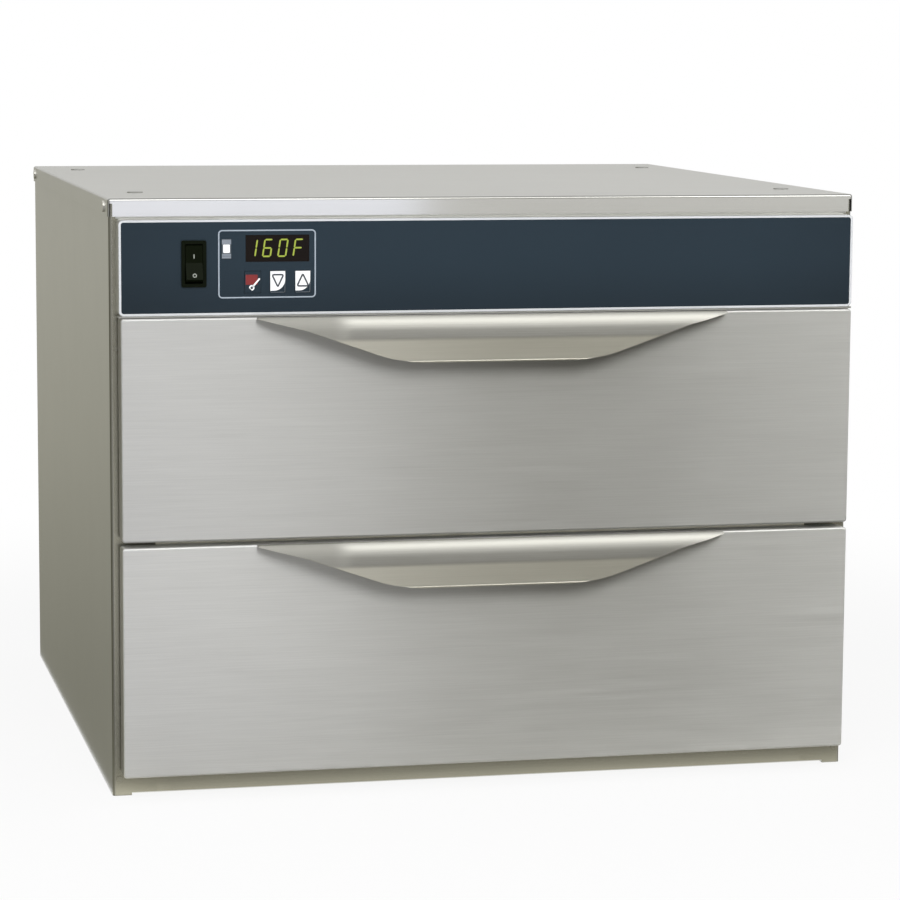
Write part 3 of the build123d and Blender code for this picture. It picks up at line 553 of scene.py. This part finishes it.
class WARMER_OT_cavity(bpy.types.Operator):
    """Finish the heated cavity, its insulation and the electrical pieces"""
    bl_idname = "warmer.cavity"
    bl_label = "Heated cavity"

    def execute(self, context):
        metals = context.scene.warmer_metals
        dress_all(("liner_right_wall", "liner_left_wall", "liner_floor", "liner_ceiling", "liner_back_wall"),
                  plain_steel("liner_sheet", metals.lining, 0.30, 30.0))
        dress("temperature_probe", plain_steel("probe_sheath", metals.bright, 0.22, 200.0))
        dress_all(("insulation_boards", "lower_front_insulation", "upper_front_insulation"), self.wool())
        dress("heating_cables", moulded("cable_silicone", (0.42, 0.07, 0.05), 0.55))
        dress("terminal_block", moulded("terminal_ceramic", (0.74, 0.70, 0.60), 0.5))
        dress("cord_gland", moulded("gland_nylon", (0.022, 0.022, 0.024), 0.45))
        return {"FINISHED"}

    def wool(self):
        """Board of pressed mineral fibre."""
        material, board = new_material("mineral_wool")
        fibre = board.noise(900, 5.0, drawn_out("Y", 0.15))
        clump = board.noise(70, 4.0)
        board.surface({
            "Base Color": board.blend(0.6 * fibre + 0.5 * clump, (0.30, 0.24, 0.12), (0.62, 0.54, 0.33)),
            "Roughness": 0.88 + 0.1 * (fibre - 0.5),
            "Normal": board.bump(fibre + clump, 0.6, 0.6 * MM),
        })
        return material


class WARMER_OT_slides(bpy.types.Operator):
    """Finish the channels, runners, cross bars and rollers"""
    bl_idname = "warmer.slides"
    bl_label = "Slides"

    def execute(self, context):
        zinc = plain_steel("slide_zinc", context.scene.warmer_metals.plated, 0.34, 90.0)
        nylon = moulded("roller_nylon", (0.70, 0.69, 0.65), 0.38)
        for drawer in DRAWERS:
            sheet_nodes = ("right_channel", "left_channel", "right_runner", "left_runner", "cross_bars")
            dress_all([f"{drawer}_{node}" for node in sheet_nodes], zinc)
            dress_all((f"{drawer}_front_rollers", f"{drawer}_rear_rollers"), nylon)
        return {"FINISHED"}


class WARMER_OT_pans(bpy.types.Operator):
    """Finish the food pans"""
    bl_idname = "warmer.pans"
    bl_label = "Food pans"

    def execute(self, context):
        drawn = plain_steel("pan_steel", context.scene.warmer_metals.drawn, 0.24, 22.0)
        dress_all([f"{drawer}_food_pan" for drawer in DRAWERS], drawn)
        return {"FINISHED"}


class WARMER_OT_fronts(bpy.types.Operator):
    """Finish the drawer fronts, their inner panels and seals, and the handles"""
    bl_idname = "warmer.fronts"
    bl_label = "Drawer fronts"

    # painted light: the lower front's colour is lifted for the light it gets less of than the upper front
    lower_light_lift: number("Lower tone", "How much lighter the lower sheet is", 1.13)
    hem: length("Hem", "Height of the rolled hem at a handle's lower edge", 1.8)
    bend_drop: length("Bend drop", "Height of the smooth bend under a handle's top", 17.0)
    blend_below: length("Blend below", "How far under its foot the bend's finish starts", 3.0)
    blend_above: length("Blend above", "How far over its foot the bend's finish is complete", 1.0)
    dull_from: length("Dull end", "Where the bend turns duller at its left end, from the middle", 138.0)
    dull_fade: share("Dull fade", "Share of that distance at which the bend is bright again", 0.85)
    dull_gloss: share("Dull roughness", "How much rougher the bend is at its left end", 0.28)
    shelf: length("Shelf", "Height over which the bend turns into the shelf on top", 0.5)
    shelf_gloss: share("Shelf roughness", "How much rougher the shelf on top is", 0.4)
    roll: number("Roll", "How far the bend's shading leans to the front over its top", 0.8)

    def execute(self, context):
        metals = context.scene.warmer_metals
        inner = plain_steel("inner_panel_steel", metals.lining, 0.32, 30.0)
        rubber = moulded("seal_silicone", (0.035, 0.035, 0.036), 0.6)
        for drawer in DRAWERS:
            # the lower front's sheet is painted lighter to stand in for missing light
            tint = toned(metals.front, 1.0 if drawer == "upper" else self.lower_light_lift)
            skin = brushed_steel(f"{drawer}_front_steel", tint, "X", metals.front_gloss, metals.spread,
                                 dull_top=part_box(f"{drawer}_front_skin")[1][2])
            dress(f"{drawer}_front_skin", skin)
            dress(f"{drawer}_handle", self.hood(drawer, metals))
            dress(f"{drawer}_inner_panel", inner)
            dress(f"{drawer}_seal", rubber)
        return {"FINISHED"}

    def hood(self, drawer, metals):
        """Hood handle steel: brushed on its face, rubbed smooth round the bend and painted darker there as
        shade.
        """
        low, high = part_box(f"{drawer}_handle")
        material, steel = new_material(f"{drawer}_handle_steel")
        hair = steel.noise(HAIR_WAVES, 2.0, drawn_out("X", HAIR_STRETCH))
        cloud = steel.noise(9.0, 3.0)
        wear = 0.08 * (hair - 0.5) + 0.05 * (cloud - 0.5)
        face = self.hood_face(steel, metals, low[2], hair, cloud, wear)
        bend = self.hood_bend(steel, metals, high[2], hair, wear)
        foot = high[2] - self.bend_drop
        on_bend = steel.ramp(steel.along("Z"), foot - self.blend_below, foot + self.blend_above)
        mix = steel.node("ShaderNodeMixShader", {}, {0: on_bend, 1: face, 2: bend})
        steel.node("ShaderNodeOutputMaterial", {}, {"Surface": mix})
        return material

    def hood_face(self, steel, metals, foot, hair, cloud, wear):
        """Shader of a handle's flat face, with the round hem along its foot painted brighter as a highlight.
        """
        rise = steel.along("Z")
        # the face's olive tint is partly a painted reflection of a warm floor
        tone = steel.blend(0.5 + 0.8 * (hair - 0.5) + 0.3 * (cloud - 0.5), toned(metals.handle, 0.91),
                           toned(metals.handle, 1.08))
        # painted highlight: the hem's colour is made brighter
        hem_highlight = 1 - steel.ramp(rise, foot + 0.6 * self.hem, foot + 1.1 * self.hem)
        up_hem = steel.node("ShaderNodeMapRange", {},
                            {"Value": rise, "From Min": foot, "From Max": foot + self.hem})
        return steel.node("ShaderNodeBsdfPrincipled", {}, {
            "Base Color": steel.blend(0.8 * hem_highlight, tone, toned(metals.handle, 1.4)),
            "Metallic": 1.0,
            "Roughness": metals.front_gloss + wear,
            "Anisotropic": metals.spread,
            "Anisotropic Rotation": UPWARD_TURN,
            "Normal": steel.bump(4 * up_hem * (1 - up_hem), 1.0, 0.4 * self.hem),
        })

    def hood_bend(self, steel, metals, top, hair, wear):
        """Shader of a handle's bend, duller on the shelf at its top and at its left end."""
        tone = 0.5 + 0.8 * (hair - 0.5)
        on_shelf = steel.top_face(top, self.shelf)
        at_end = 1 - steel.ramp(steel.along("X"), -self.dull_from, -self.dull_fade * self.dull_from)
        return steel.node("ShaderNodeBsdfPrincipled", {}, {
            # painted shade: the bend's colour is darker than the face's
            "Base Color": steel.blend(tone, toned(metals.bend, 0.92), toned(metals.bend, 1.08)),
            "Metallic": 1.0,
            "Roughness": metals.handle_gloss + wear + self.shelf_gloss * on_shelf + self.dull_gloss * at_end,
            "Normal": steel.bump(steel.along("Y"), 1.0, self.roll),
        })


class WARMER_OT_film(bpy.types.Operator):
    """Finish the panel film and print its border and the controller's outline"""
    bl_idname = "warmer.film"
    bl_label = "Panel film"

    keypad_width: length("Keypad width", "Width over the line round the controller", 78.9)
    keypad_height: length("Keypad height", "Height over the line round the controller", 54.5)
    keypad_corner: length("Keypad corner", "Corner radius of that line", 3.2)
    keypad_shift: length("Keypad shift", "How far that line's middle lies left of the window's", 8.35)
    keypad_drop: length("Keypad drop", "How far that line's middle lies under the window's", 12.35)
    film_corner: length("Film corner", "Corner radius of the border", 3.8)
    film_play: length("Film play", "How far the border stays inside the film's edge", 0.05)

    def execute(self, context):
        prints = context.scene.warmer_prints
        dress("panel_film", film_ink("panel_film_ink", prints.film))
        middle, width, height = node_face("panel_film")
        border = rounded_plate(width - 2 * self.film_play, height - 2 * self.film_play, self.film_corner)
        hollow(border, prints.border_width)
        printed(border, middle, "film_border", CABINET, ink("border_ink", prints.border))
        keypad = rounded_plate(self.keypad_width, self.keypad_height, self.keypad_corner)
        hollow(keypad, prints.line_width)
        window = node_face("display_window")[0]
        place = Vector((window.x - self.keypad_shift, middle.y, window.z - self.keypad_drop))
        printed(keypad, place, "keypad_line", CABINET, ink("keypad_ink", prints.line))
        return {"FINISHED"}


class WARMER_OT_switch(bpy.types.Operator):
    """Finish the rocker switch and print its on and off marks"""
    bl_idname = "warmer.switch"
    bl_label = "Rocker switch"

    tilt: angle("Tilt", "How far the rocker's faces lean from the panel's plane", 20)
    lip: length("Rocker lip", "How far the raised end stands in front of the valley", 4.72)
    valley_rise: length("Valley height", "Height of the valley over the rocker's foot", 15.95)
    bar_width: length("On mark width", "Width of the on mark", 0.9)
    bar_height: length("On mark height", "Height of the on mark", 3.4)
    bar_corner: length("On mark corner", "Corner radius of the on mark", 0.2)
    ring_radius: length("Off mark radius", "Radius of the off mark", 1.65)
    ring_band: length("Off mark line", "Width of the off mark's line", 0.65)
    on_place: share("On mark place", "Share of the way up the upper face", 0.36)
    off_place: share("Off mark place", "Share of the way down the lower face", 0.72)

    def execute(self, context):
        housing = moulded("housing_plastic", (0.003, 0.0048, 0.0016), 0.45, 900.0, 0.06, 0.05)
        dress_all(("switch_housing", "controller"), housing)
        rocker = moulded("rocker_plastic", (0.0028, 0.0045, 0.0012), 0.40, 1400.0, 0.03, 0.04)
        dress("power_rocker", rocker)
        right, up, out = PANEL_AXES
        low, high = (Vector(corner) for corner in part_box("power_rocker"))
        valley = Vector(((low.x + high.x) / 2, low.y + self.lip, low.z + self.valley_rise))
        upper_run = high.z - valley.z
        mark = ink("switch_mark_ink", (0.27, 0.29, 0.255))
        bar = rounded_plate(self.bar_width, self.bar_height, self.bar_corner)
        printed(bar, valley + up * upper_run * self.on_place, "switch_on_mark", "power_rocker",
                mark)
        lean = Matrix.Rotation(-self.tilt, 3, "X")
        axes = (right, lean @ up, lean @ out)
        ring = disc(self.ring_radius)
        hollow(ring, self.ring_band)
        printed(ring, valley - axes[1] * upper_run * self.off_place, "switch_off_mark", "power_rocker",
                mark, axes)
        return {"FINISHED"}


class WARMER_OT_display(bpy.types.Operator):
    """Finish the display window, its lit digits and the indicator"""
    bl_idname = "warmer.display"
    bl_label = "Display"

    digit_width: length("Digit width", "Width of a digit over its segments", 7.4)
    digit_height: length("Digit height", "Height of a digit over its segments", 14.6)
    digit_pitch: length("Digit pitch", "Step from digit to digit", 12.35)
    digit_rise: length("Digit rise", "How far the digits lie over the window's middle", 0.3)
    first_digit: length("First digit", "Middle of the first digit from the window's left edge", 5.4)
    bar: length("Segment width", "Width of a segment", 1.25)
    bar_gap: length("Segment gap", "Room between the ends of two segments", 0.35)
    bar_corner: share("Segment corner", "Corner of a segment as a share of its width", 0.45)
    slant: share("Slant", "How far a digit leans to the right for each unit of height", 0.15)
    lamp_width: share("Lamp width", "Share of the indicator's width that its lit square takes", 0.72)
    lamp_height: share("Lamp height", "Share of the indicator's height that its lit square takes", 0.42)
    lamp_corner: length("Lamp corner", "Corner radius of the lit square", 0.4)
    lamp_rise: length("Lamp rise", "How far the lit square lies over the indicator's middle", 0.2)
    silver_corner: length("Silver corner", "Corner radius of the indicator's silver bars", 0.1)

    # segments lit in each character: a b c d e f g
    LIT = ("bc", "acdefg", "abcdef", "aefg")
    # silver bars of the indicator: name, then rise over its middle and height as shares of its own height
    SILVER = (("upper", 0.35, 0.24), ("lower", -0.30, 0.10), ("foot", -0.42, 0.10))

    def execute(self, context):
        prints = context.scene.warmer_prints
        dress("display_window", moulded("window_tint", prints.window, 0.22, 500.0, 0.0, 0.13))
        glow = lit("digit_glow", prints.digit, 1.0)
        middle, width = node_face("display_window")[:2]
        left = middle - Vector((width / 2, 0, 0))
        for order, letters in enumerate(self.LIT):
            spot = left + Vector((self.first_digit + order * self.digit_pitch, 0, self.digit_rise))
            printed(self.digit(letters), spot, f"display_digit_{order + 1}", CABINET, glow)
        self.indicator(prints)
        return {"FINISHED"}

    def digit(self, letters):
        """Lit segments of one character, slanted, about the origin."""
        bm = bmesh.new()
        across = self.digit_width - self.bar
        rise = (self.digit_height - self.bar) / 2
        spots = {"a": (0, rise, 0), "g": (0, 0, 0), "d": (0, -rise, 0)}
        for letter, side, half in (("f", -1, 1), ("b", 1, 1), ("e", -1, -1), ("c", 1, -1)):
            spots[letter] = (side * across / 2, half * rise / 2, 1)
        for letter in letters:
            x, y, upright = spots[letter]
            run = (rise if upright else across) - self.bar_gap
            turn = Matrix.Rotation(math.pi / 2 * upright, 4, "Z")
            shape = Matrix.Translation((x, y, 0)) @ turn @ Matrix.Diagonal((run, self.bar, 1, 1))
            made = bmesh.ops.create_grid(bm, x_segments=1, y_segments=1, size=0.5, matrix=shape)
            round_corners(bm, made["verts"], self.bar_corner * self.bar, 1)
        lean = Matrix.Identity(4)
        lean[0][1] = self.slant
        bmesh.ops.transform(bm, matrix=lean, verts=bm.verts[:])
        return bm

    def indicator(self, prints):
        """Lens of the indicator with its lit square and its silver bars."""
        dress("indicator_light", moulded("indicator_frame", (0.060, 0.075, 0.090), 0.4))
        middle, width, height = node_face("indicator_light")
        square = rounded_plate(self.lamp_width * width, self.lamp_height * height, self.lamp_corner)
        printed(square, middle + Vector((0, 0, self.lamp_rise)), "indicator_lamp", CABINET,
                lit("lamp_glow", prints.lamp, 0.9))
        silver = ink("indicator_silver", (0.20, 0.225, 0.26))
        for name, rise, tall in self.SILVER:
            bar = rounded_plate(width, tall * height, self.silver_corner)
            printed(bar, middle + Vector((0, 0, rise * height)), f"indicator_{name}_bar", CABINET,
                    silver)


class WARMER_OT_keys(bpy.types.Operator):
    """Finish the set key and the two arrow keys"""
    bl_idname = "warmer.keys"
    bl_label = "Keys"

    patch_width: length("Patch width", "Width of the set key's red patch", 9.7)
    patch_height: length("Patch height", "Height of the red patch", 8.0)
    patch_corner: length("Patch corner", "Corner radius of the red patch", 0.3)
    patch_shift: length("Patch shift", "How far the red patch lies left of the key's middle", 0.85)
    patch_rise: length("Patch rise", "How far the red patch lies over the key's middle", 1.9)
    wrench_lean: angle("Wrench lean", "How far the wrench rises from level", 49)
    jaw_shift: length("Jaw shift", "How far the wrench's jaw lies left of the key's middle", 0.75)
    jaw_drop: length("Jaw drop", "How far the jaw lies under the key's middle", 4.6)
    jaw_radius: length("Jaw radius", "Radius of the jaw", 2.2)
    jaw_band: length("Jaw band", "Width of the jaw's ring", 1.15)
    jaw_mouth: length("Jaw mouth", "Distance from the jaw's middle to its open mouth", 1.5)
    shaft_length: length("Shaft length", "Length of the wrench's shaft", 8.6)
    shaft_width: length("Shaft width", "Width of the shaft", 1.35)
    shaft_corner: length("Shaft corner", "Corner radius of the shaft", 0.6)
    shaft_reach: length("Shaft reach", "Distance from the jaw's middle to the shaft's", 5.6)
    edge_play: length("Edge play", "How far the thin edge stays inside an arrow key's outline", 0.15)
    edge_corner: length("Edge corner", "Corner radius of the thin edge", 1.0)
    edge_width: length("Edge width", "Width of the thin edge", 0.35)
    white_play: length("White play", "How far the white print stays inside the key's sides", 0.1)
    white_height: share("White height", "Share of the key's height that the white print takes", 0.91)
    white_rise: share("White rise", "Rise of the white print as a share of the key's height", 0.042)
    curl: length("White corner", "Size of the rounded corner of the white print", 9.0)
    arrow_size: length("Arrow size", "Radius of the circle round an arrow", 6.6)
    arrow_stretch: number("Arrow stretch", "How much taller an arrow is than an even one", 1.2)
    arrow_line: length("Arrow line", "Width of the arrow's outline", 1.3)
    arrow_corner: length("Arrow corner", "Size of the arrow's rounded corners", 2.7)
    up_rise: length("Up arrow rise", "How far the up arrow lies over its key's middle", -0.2)
    down_rise: length("Down arrow rise", "How far the down arrow lies over its key's middle", 2.4)

    def execute(self, context):
        prints = context.scene.warmer_prints
        cap = film_ink("key_film_ink", prints.film)
        white = ink("key_white_ink", prints.key_white)
        dress_all(("set_key", "down_key", "up_key"), cap)
        self.set_key(prints, white)
        line = ink("arrow_ink", prints.key_line)
        edge = ink("key_edge_ink", toned(prints.line, 0.4))
        for node, points_up in (("down_key", False), ("up_key", True)):
            self.arrow_key(node, points_up, white, line, edge)
        return {"FINISHED"}

    def set_key(self, prints, white):
        """Red patch with a wrench across its corner."""
        middle = node_face("set_key")[0]
        patch = rounded_plate(self.patch_width, self.patch_height, self.patch_corner)
        printed(patch, middle + Vector((-self.patch_shift, 0, self.patch_rise)), "set_key_patch", "set_key",
                ink("patch_ink", prints.patch))
        right, up, out = PANEL_AXES
        turn = Matrix.Rotation(-self.wrench_lean, 3, "Y")
        axes = (turn @ right, turn @ up, out)
        head = middle + Vector((-self.jaw_shift, 0, -self.jaw_drop))
        shaft = rounded_plate(self.shaft_length, self.shaft_width, self.shaft_corner)
        printed(shaft, head + axes[0] * self.shaft_reach, "set_key_wrench_shaft", "set_key",
                white, axes, layer=2.0)
        jaw = disc(self.jaw_radius)
        hollow(jaw, self.jaw_band)
        ring = jaw.verts[:] + jaw.edges[:] + jaw.faces[:]
        bmesh.ops.bisect_plane(jaw, geom=ring, plane_co=(-self.jaw_mouth, 0, 0), plane_no=(-1, 0, 0),
                               clear_outer=True)
        printed(jaw, head, "set_key_wrench_jaw", "set_key", white, axes, layer=2.0)

    def arrow_key(self, node, points_up, white, line, edge):
        """White print with one wide round corner, an outlined arrow and the key's thin edge."""
        middle, width, height = node_face(node)
        rim = rounded_plate(width - 2 * self.edge_play, height - 2 * self.edge_play, self.edge_corner)
        hollow(rim, self.edge_width)
        printed(rim, middle, f"{node}_edge", node, edge)
        sheet = rounded_plate(width - 2 * self.white_play, self.white_height * height, 0)
        corner = max(sheet.verts, key=lambda vert: vert.co.x - vert.co.y)
        round_corners(sheet, [corner], self.curl, 10)
        printed(sheet, middle + Vector((0, 0, self.white_rise * height)), f"{node}_white", node,
                white, layer=2.0)
        arrow = disc(self.arrow_size, 3)
        if not points_up:
            bmesh.ops.rotate(arrow, matrix=Matrix.Rotation(math.pi, 3, "Z"), verts=arrow.verts[:])
        bmesh.ops.scale(arrow, vec=(1, self.arrow_stretch, 1), verts=arrow.verts[:])
        round_corners(arrow, arrow.verts[:], self.arrow_corner, 5)
        hollow(arrow, self.arrow_line)
        rise = self.up_rise if points_up else self.down_rise
        printed(arrow, middle + Vector((0, 0, rise)), f"{node}_arrow", node, line,
                layer=3.0)


class WARMER_OT_stage(bpy.types.Operator):
    """Set the camera, the world, the floor, the lamps and the cards that the steel reflects"""
    bl_idname = "warmer.stage"
    bl_label = "Stage"

    # where both lamps point, and each lamp's name, place, width and height
    AIM = Vector((0, -0.3, 0.25))
    LAMPS = (("key", (-0.75, -2.5, 1.9), 2.2, 1.3), ("fill", (0.9, -2.6, 0.55), 1.3, 0.7))
    # the camera's sensor in millimetres, how far it sees, and how far the floor goes
    SENSOR = 36
    FAR_CLIP = 100
    FLOOR_REACH = 20
    # how far from the warmer the floor starts to turn quite white, and where it is
    FLOOR_FADE = (0.5, 1.3)
    # how the front card's tones along X are stretched and shifted for the band card further away
    FAR_STRETCH = 1.565
    FAR_SHIFT = 0.346
    # brightest tone of a card, where white is 1
    BRIGHTEST = 4.0

    def execute(self, context):
        look = context.scene.warmer_stage
        context.scene.view_settings.view_transform = "Standard"
        self.camera(context, look)
        self.world(context, look)
        self.floor(look)
        for name, place, width, height in self.LAMPS:
            self.lamp(context, f"{name}_lamp", Vector(place), width, height, getattr(look, name))
        self.front_cards()
        self.low_cards()
        self.far_cards()
        return {"FINISHED"}

    def front_cards(self):
        """Cards in front: a wide one, a high band past it, one overhead, and a strip for the cover's lip."""
        across = ((-0.15, (1.0, 1.0, 1.03)), (0.09, (1.26, 1.26, 1.29)), (0.20, (1.40, 1.40, 1.44)),
                  (0.34, (1.48, 1.48, 1.51)), (0.46, (0.92, 0.915, 0.90)), (0.57, (0.56, 0.555, 0.52)),
                  (0.69, (0.48, 0.475, 0.435)), (0.78, (0.49, 0.485, 0.45)), (0.90, (0.70, 0.70, 0.665)),
                  (1.0, (1.02, 1.02, 1.0)), (1.2, (1.4, 1.4, 1.38)), (1.6, grey(1.4)))
        rise = ((0.0, (0.30, 0.285, 0.245)), (0.22, (0.32, 0.305, 0.26)), (0.30, (0.14, 0.14, 0.125)),
                (0.90, (0.16, 0.16, 0.15)))
        self.card("front_card", (-2.0, -2.4, 0.0), (3.0, -2.4, 0.9), {"X": across, "Z": rise})
        wide = [(self.FAR_STRETCH * place + self.FAR_SHIFT, tint) for place, tint in across]
        band = ((1.7, grey(0.12)), (2.1, grey(1.2)), (2.95, grey(3.0)), (4.0, grey(4.0)), (5.4, grey(4.0)),
                (5.9, grey(1.4)), (6.5, grey(1.2)))
        self.card("band_card", (-4.0, -5.0, 1.0), (6.0, -5.0, 6.5), {"X": wide, "Z": band})
        over = ((-0.9, grey(1.4)), (1.2, grey(1.4)))
        self.card("over_card", (-1.2, -2.4, 3.0), (1.6, -0.45, 3.0), {"X": over})
        lip = ((0.397, (1.62, 1.64, 1.82)), (0.417, (1.08, 1.07, 1.06)), (1.4, (1.12, 1.11, 1.10)))
        self.card("lip_card", (-1.6, -2.399, 0.31), (2.2, -2.399, 0.42), {"X": lip})

    def low_cards(self):
        """Cards on the floor: in front of the warmer, and close under its foot."""
        across = ((-0.4, (0.85, 0.85, 0.87)), (-0.05, (0.85, 0.845, 0.83)), (0.12, (0.50, 0.49, 0.46)),
                  (0.26, (0.20, 0.19, 0.165)), (0.60, (0.13, 0.125, 0.105)), (1.1, (0.36, 0.35, 0.32)))
        near = ((-2.4, grey(0.25)), (-1.9, grey(1.0)), (-1.0, grey(1.0)), (-0.75, grey(0.45)),
                (-0.4, grey(0.45)))
        self.card("floor_card", (-2.0, -2.4, 0.003), (3.0, -0.40, 0.003), {"X": across, "Y": near})
        corner = ((-0.30, grey(1.4)), (-0.26, grey(1.0)))
        foot = ((-0.40, (0.26, 0.255, 0.23)), (-0.345, (0.28, 0.275, 0.25)), (-0.315, (0.65, 0.64, 0.59)),
                (-0.289, (0.90, 0.89, 0.83)))
        self.card("foot_card", (-0.7, -0.40, 0.001), (0.7, -0.28, 0.001), {"X": corner, "Y": foot})

    def far_cards(self):
        """Cards beside and behind: the floor along the left side, a dark flag past it, and the far wall."""
        behind = ((0.2, (0.27, 0.265, 0.215)), (2.0, (0.45, 0.44, 0.37)), (6.0, (0.58, 0.57, 0.50)))
        self.card("side_card", (-2.0, -0.3, 0.0006), (-0.3145, 9.0, 0.0006), {"Y": behind})
        self.card("flag", (-2.0, -0.3, 0.0), (-2.0, 9.0, 1.4), {"Y": behind})
        wall = ((-2.0, (0.52, 0.51, 0.49)), (6.0, (0.56, 0.55, 0.53)))
        self.card("back_card", (-2.0, 9.0, 0.0), (6.0, 9.0, 3.2), {"X": wall})

    def card(self, name, first, last, tones):
        """A flat card that only gloss shows, with its tones along the axes multiplied together."""
        material, tone = new_material(name)
        shade = None
        for axis, stops in tones.items():
            low, high = stops[0][0], max(stops[-1][0], stops[0][0] + 1)
            ramp = [((place - low) / (high - low), tint) for place, tint in stops]
            layer = self.fade(tone, (tone.along(axis) - low) / (high - low), ramp)
            shade = layer if shade is None else tone.node(
                "ShaderNodeVectorMath", {"operation": "MULTIPLY"}, {0: shade, 1: layer})
        glow = tone.node("ShaderNodeEmission", {}, {"Color": shade, "Strength": 1.0})
        tone.node("ShaderNodeOutputMaterial", {}, {"Surface": glow})
        (x0, y0, z0), (x1, y1, z1) = first, last
        if z0 == z1:
            corners = ((x0, y0, z0), (x1, y0, z0), (x1, y1, z0), (x0, y1, z0))
        else:
            corners = (first, (x1, y1, z0), last, (x0, y0, z1))
        bm = bmesh.new()
        bm.faces.new([bm.verts.new(corner) for corner in corners])
        card = new_object(bm, name, material)
        for ray in ("camera", "diffuse", "transmission", "volume_scatter", "shadow"):
            setattr(card, f"visible_{ray}", False)

    def fade(self, tone, value, stops):
        """Tones along a value, kept as shares of the brightest one in the colour ramp."""
        shares = [(place, toned(tint, 1 / self.BRIGHTEST)) for place, tint in stops]
        ramp = tone.node("ShaderNodeValToRGB", {"stops": shares}, {0: value})
        return tone.node("ShaderNodeVectorMath", {"operation": "SCALE"}, {0: ramp, "Scale": self.BRIGHTEST})

    def camera(self, context, look):
        """Camera at the photograph's place, with its axes from yaw, pitch and roll."""
        right = Vector((math.cos(look.yaw), math.sin(look.yaw), 0))
        ahead = Vector((-math.sin(look.yaw) * math.cos(look.pitch), math.cos(look.yaw) * math.cos(look.pitch),
                        -math.sin(look.pitch)))
        up = right.cross(ahead)
        level = math.cos(look.roll) * right + math.sin(look.roll) * up
        upright = math.cos(look.roll) * up - math.sin(look.roll) * right
        lens = bpy.data.cameras.new("camera")
        lens.lens = look.lens
        lens.sensor_width = self.SENSOR
        lens.clip_end = self.FAR_CLIP
        camera = bpy.data.objects.new("camera", lens)
        turn = Matrix((level, upright, -ahead)).transposed().to_4x4()
        camera.matrix_world = Matrix.Translation(look.eye) @ turn
        context.scene.collection.objects.link(camera)
        context.scene.camera = camera

    def seen(self, tree):
        """1 for rays that show the background: to the camera, in gloss and through glass."""
        rays = [tree.node("ShaderNodeLightPath", {}, {}, ray)
                for ray in ("Is Camera Ray", "Is Glossy Ray", "Is Transmission Ray")]
        return rays[0].math("MAXIMUM", rays[0].math("MAXIMUM", rays[0], rays[1]), rays[2])

    def world(self, context, look):
        """White background, and a softer light from all round."""
        world = bpy.data.worlds.new("studio")
        world.use_nodes = True
        context.scene.world = world
        air = Finish(world.node_tree)
        shown = self.seen(air)
        strength = look.ambient + shown * (1 - look.ambient)
        back = air.node("ShaderNodeBackground", {}, {"Color": (1, 1, 1), "Strength": strength})
        air.node("ShaderNodeOutputWorld", {}, {"Surface": back})

    def floor(self, look):
        """Wide pale floor that keeps a soft shadow."""
        material, ground = new_material("floor_paper")
        grain = ground.noise(60, 3.0)
        pale = ground.node("ShaderNodeBsdfDiffuse", {}, {
            "Color": ground.blend(grain, toned(look.floor, 0.98), look.floor)})
        white = ground.node("ShaderNodeEmission", {}, {"Color": (1, 1, 1), "Strength": 1.0})
        reach = ground.node("ShaderNodeVectorMath", {"operation": "LENGTH"}, {0: ground.place()}, "Value")
        far = look.floor_white + (1 - look.floor_white) * ground.ramp(reach, *self.FLOOR_FADE)
        mix = ground.node("ShaderNodeMixShader", {}, {0: self.seen(ground) * far, 1: pale, 2: white})
        ground.node("ShaderNodeOutputMaterial", {}, {"Surface": mix})
        bm = bmesh.new()
        bmesh.ops.create_grid(bm, x_segments=1, y_segments=1, size=self.FLOOR_REACH)
        new_object(bm, "floor", material)

    def lamp(self, context, name, place, width, height, power):
        """A soft box that points at the warmer."""
        light = bpy.data.lights.new(name, "AREA")
        light.shape = "RECTANGLE"
        light.size = width
        light.size_y = height
        light.energy = power
        lamp = bpy.data.objects.new(name, light)
        lamp.location = place
        lamp.rotation_euler = (self.AIM - place).to_track_quat("-Z", "Y").to_euler()
        lamp.visible_camera = False
        lamp.visible_glossy = False
        context.scene.collection.objects.link(lamp)


PIECES = (WARMER_OT_casing, WARMER_OT_fasteners, WARMER_OT_cavity, WARMER_OT_slides, WARMER_OT_pans,
          WARMER_OT_fronts, WARMER_OT_film, WARMER_OT_switch, WARMER_OT_display, WARMER_OT_keys,
          WARMER_OT_stage)


class WARMER_PT_sidebar(bpy.types.Panel):
    """Lists the pieces and their looks"""
    bl_idname = "WARMER_PT_sidebar"
    bl_label = "Warming drawer"
    bl_space_type = "VIEW_3D"
    bl_region_type = "UI"
    bl_category = "Warmer"

    def draw(self, context):
        for kind in PIECES:
            self.layout.operator(kind.bl_idname)
        for group in (context.scene.warmer_metals, context.scene.warmer_prints, context.scene.warmer_stage):
            column = self.layout.column()
            for key in group.bl_rna.properties.keys():
                if key not in ("rna_type", "name"):
                    column.prop(group, key)


GROUPS = {"warmer_metals": WarmerMetals, "warmer_prints": WarmerPrints, "warmer_stage": WarmerStage}


def register():
    for kind in (*GROUPS.values(), *PIECES, WARMER_PT_sidebar):
        bpy.utils.register_class(kind)
    for name, group in GROUPS.items():
        setattr(bpy.types.Scene, name, PointerProperty(type=group))


def unregister():
    for name in GROUPS:
        delattr(bpy.types.Scene, name)
    for kind in reversed((*GROUPS.values(), *PIECES, WARMER_PT_sidebar)):
        bpy.utils.unregister_class(kind)


def main():
    register()
    bpy.ops.warmer.casing()
    bpy.ops.warmer.fasteners()
    bpy.ops.warmer.cavity()
    bpy.ops.warmer.slides()
    bpy.ops.warmer.pans()
    bpy.ops.warmer.fronts()
    bpy.ops.warmer.film()
    bpy.ops.warmer.switch()
    bpy.ops.warmer.display()
    bpy.ops.warmer.keys()
    bpy.ops.warmer.stage()


if __name__ == "__main__":
    main()
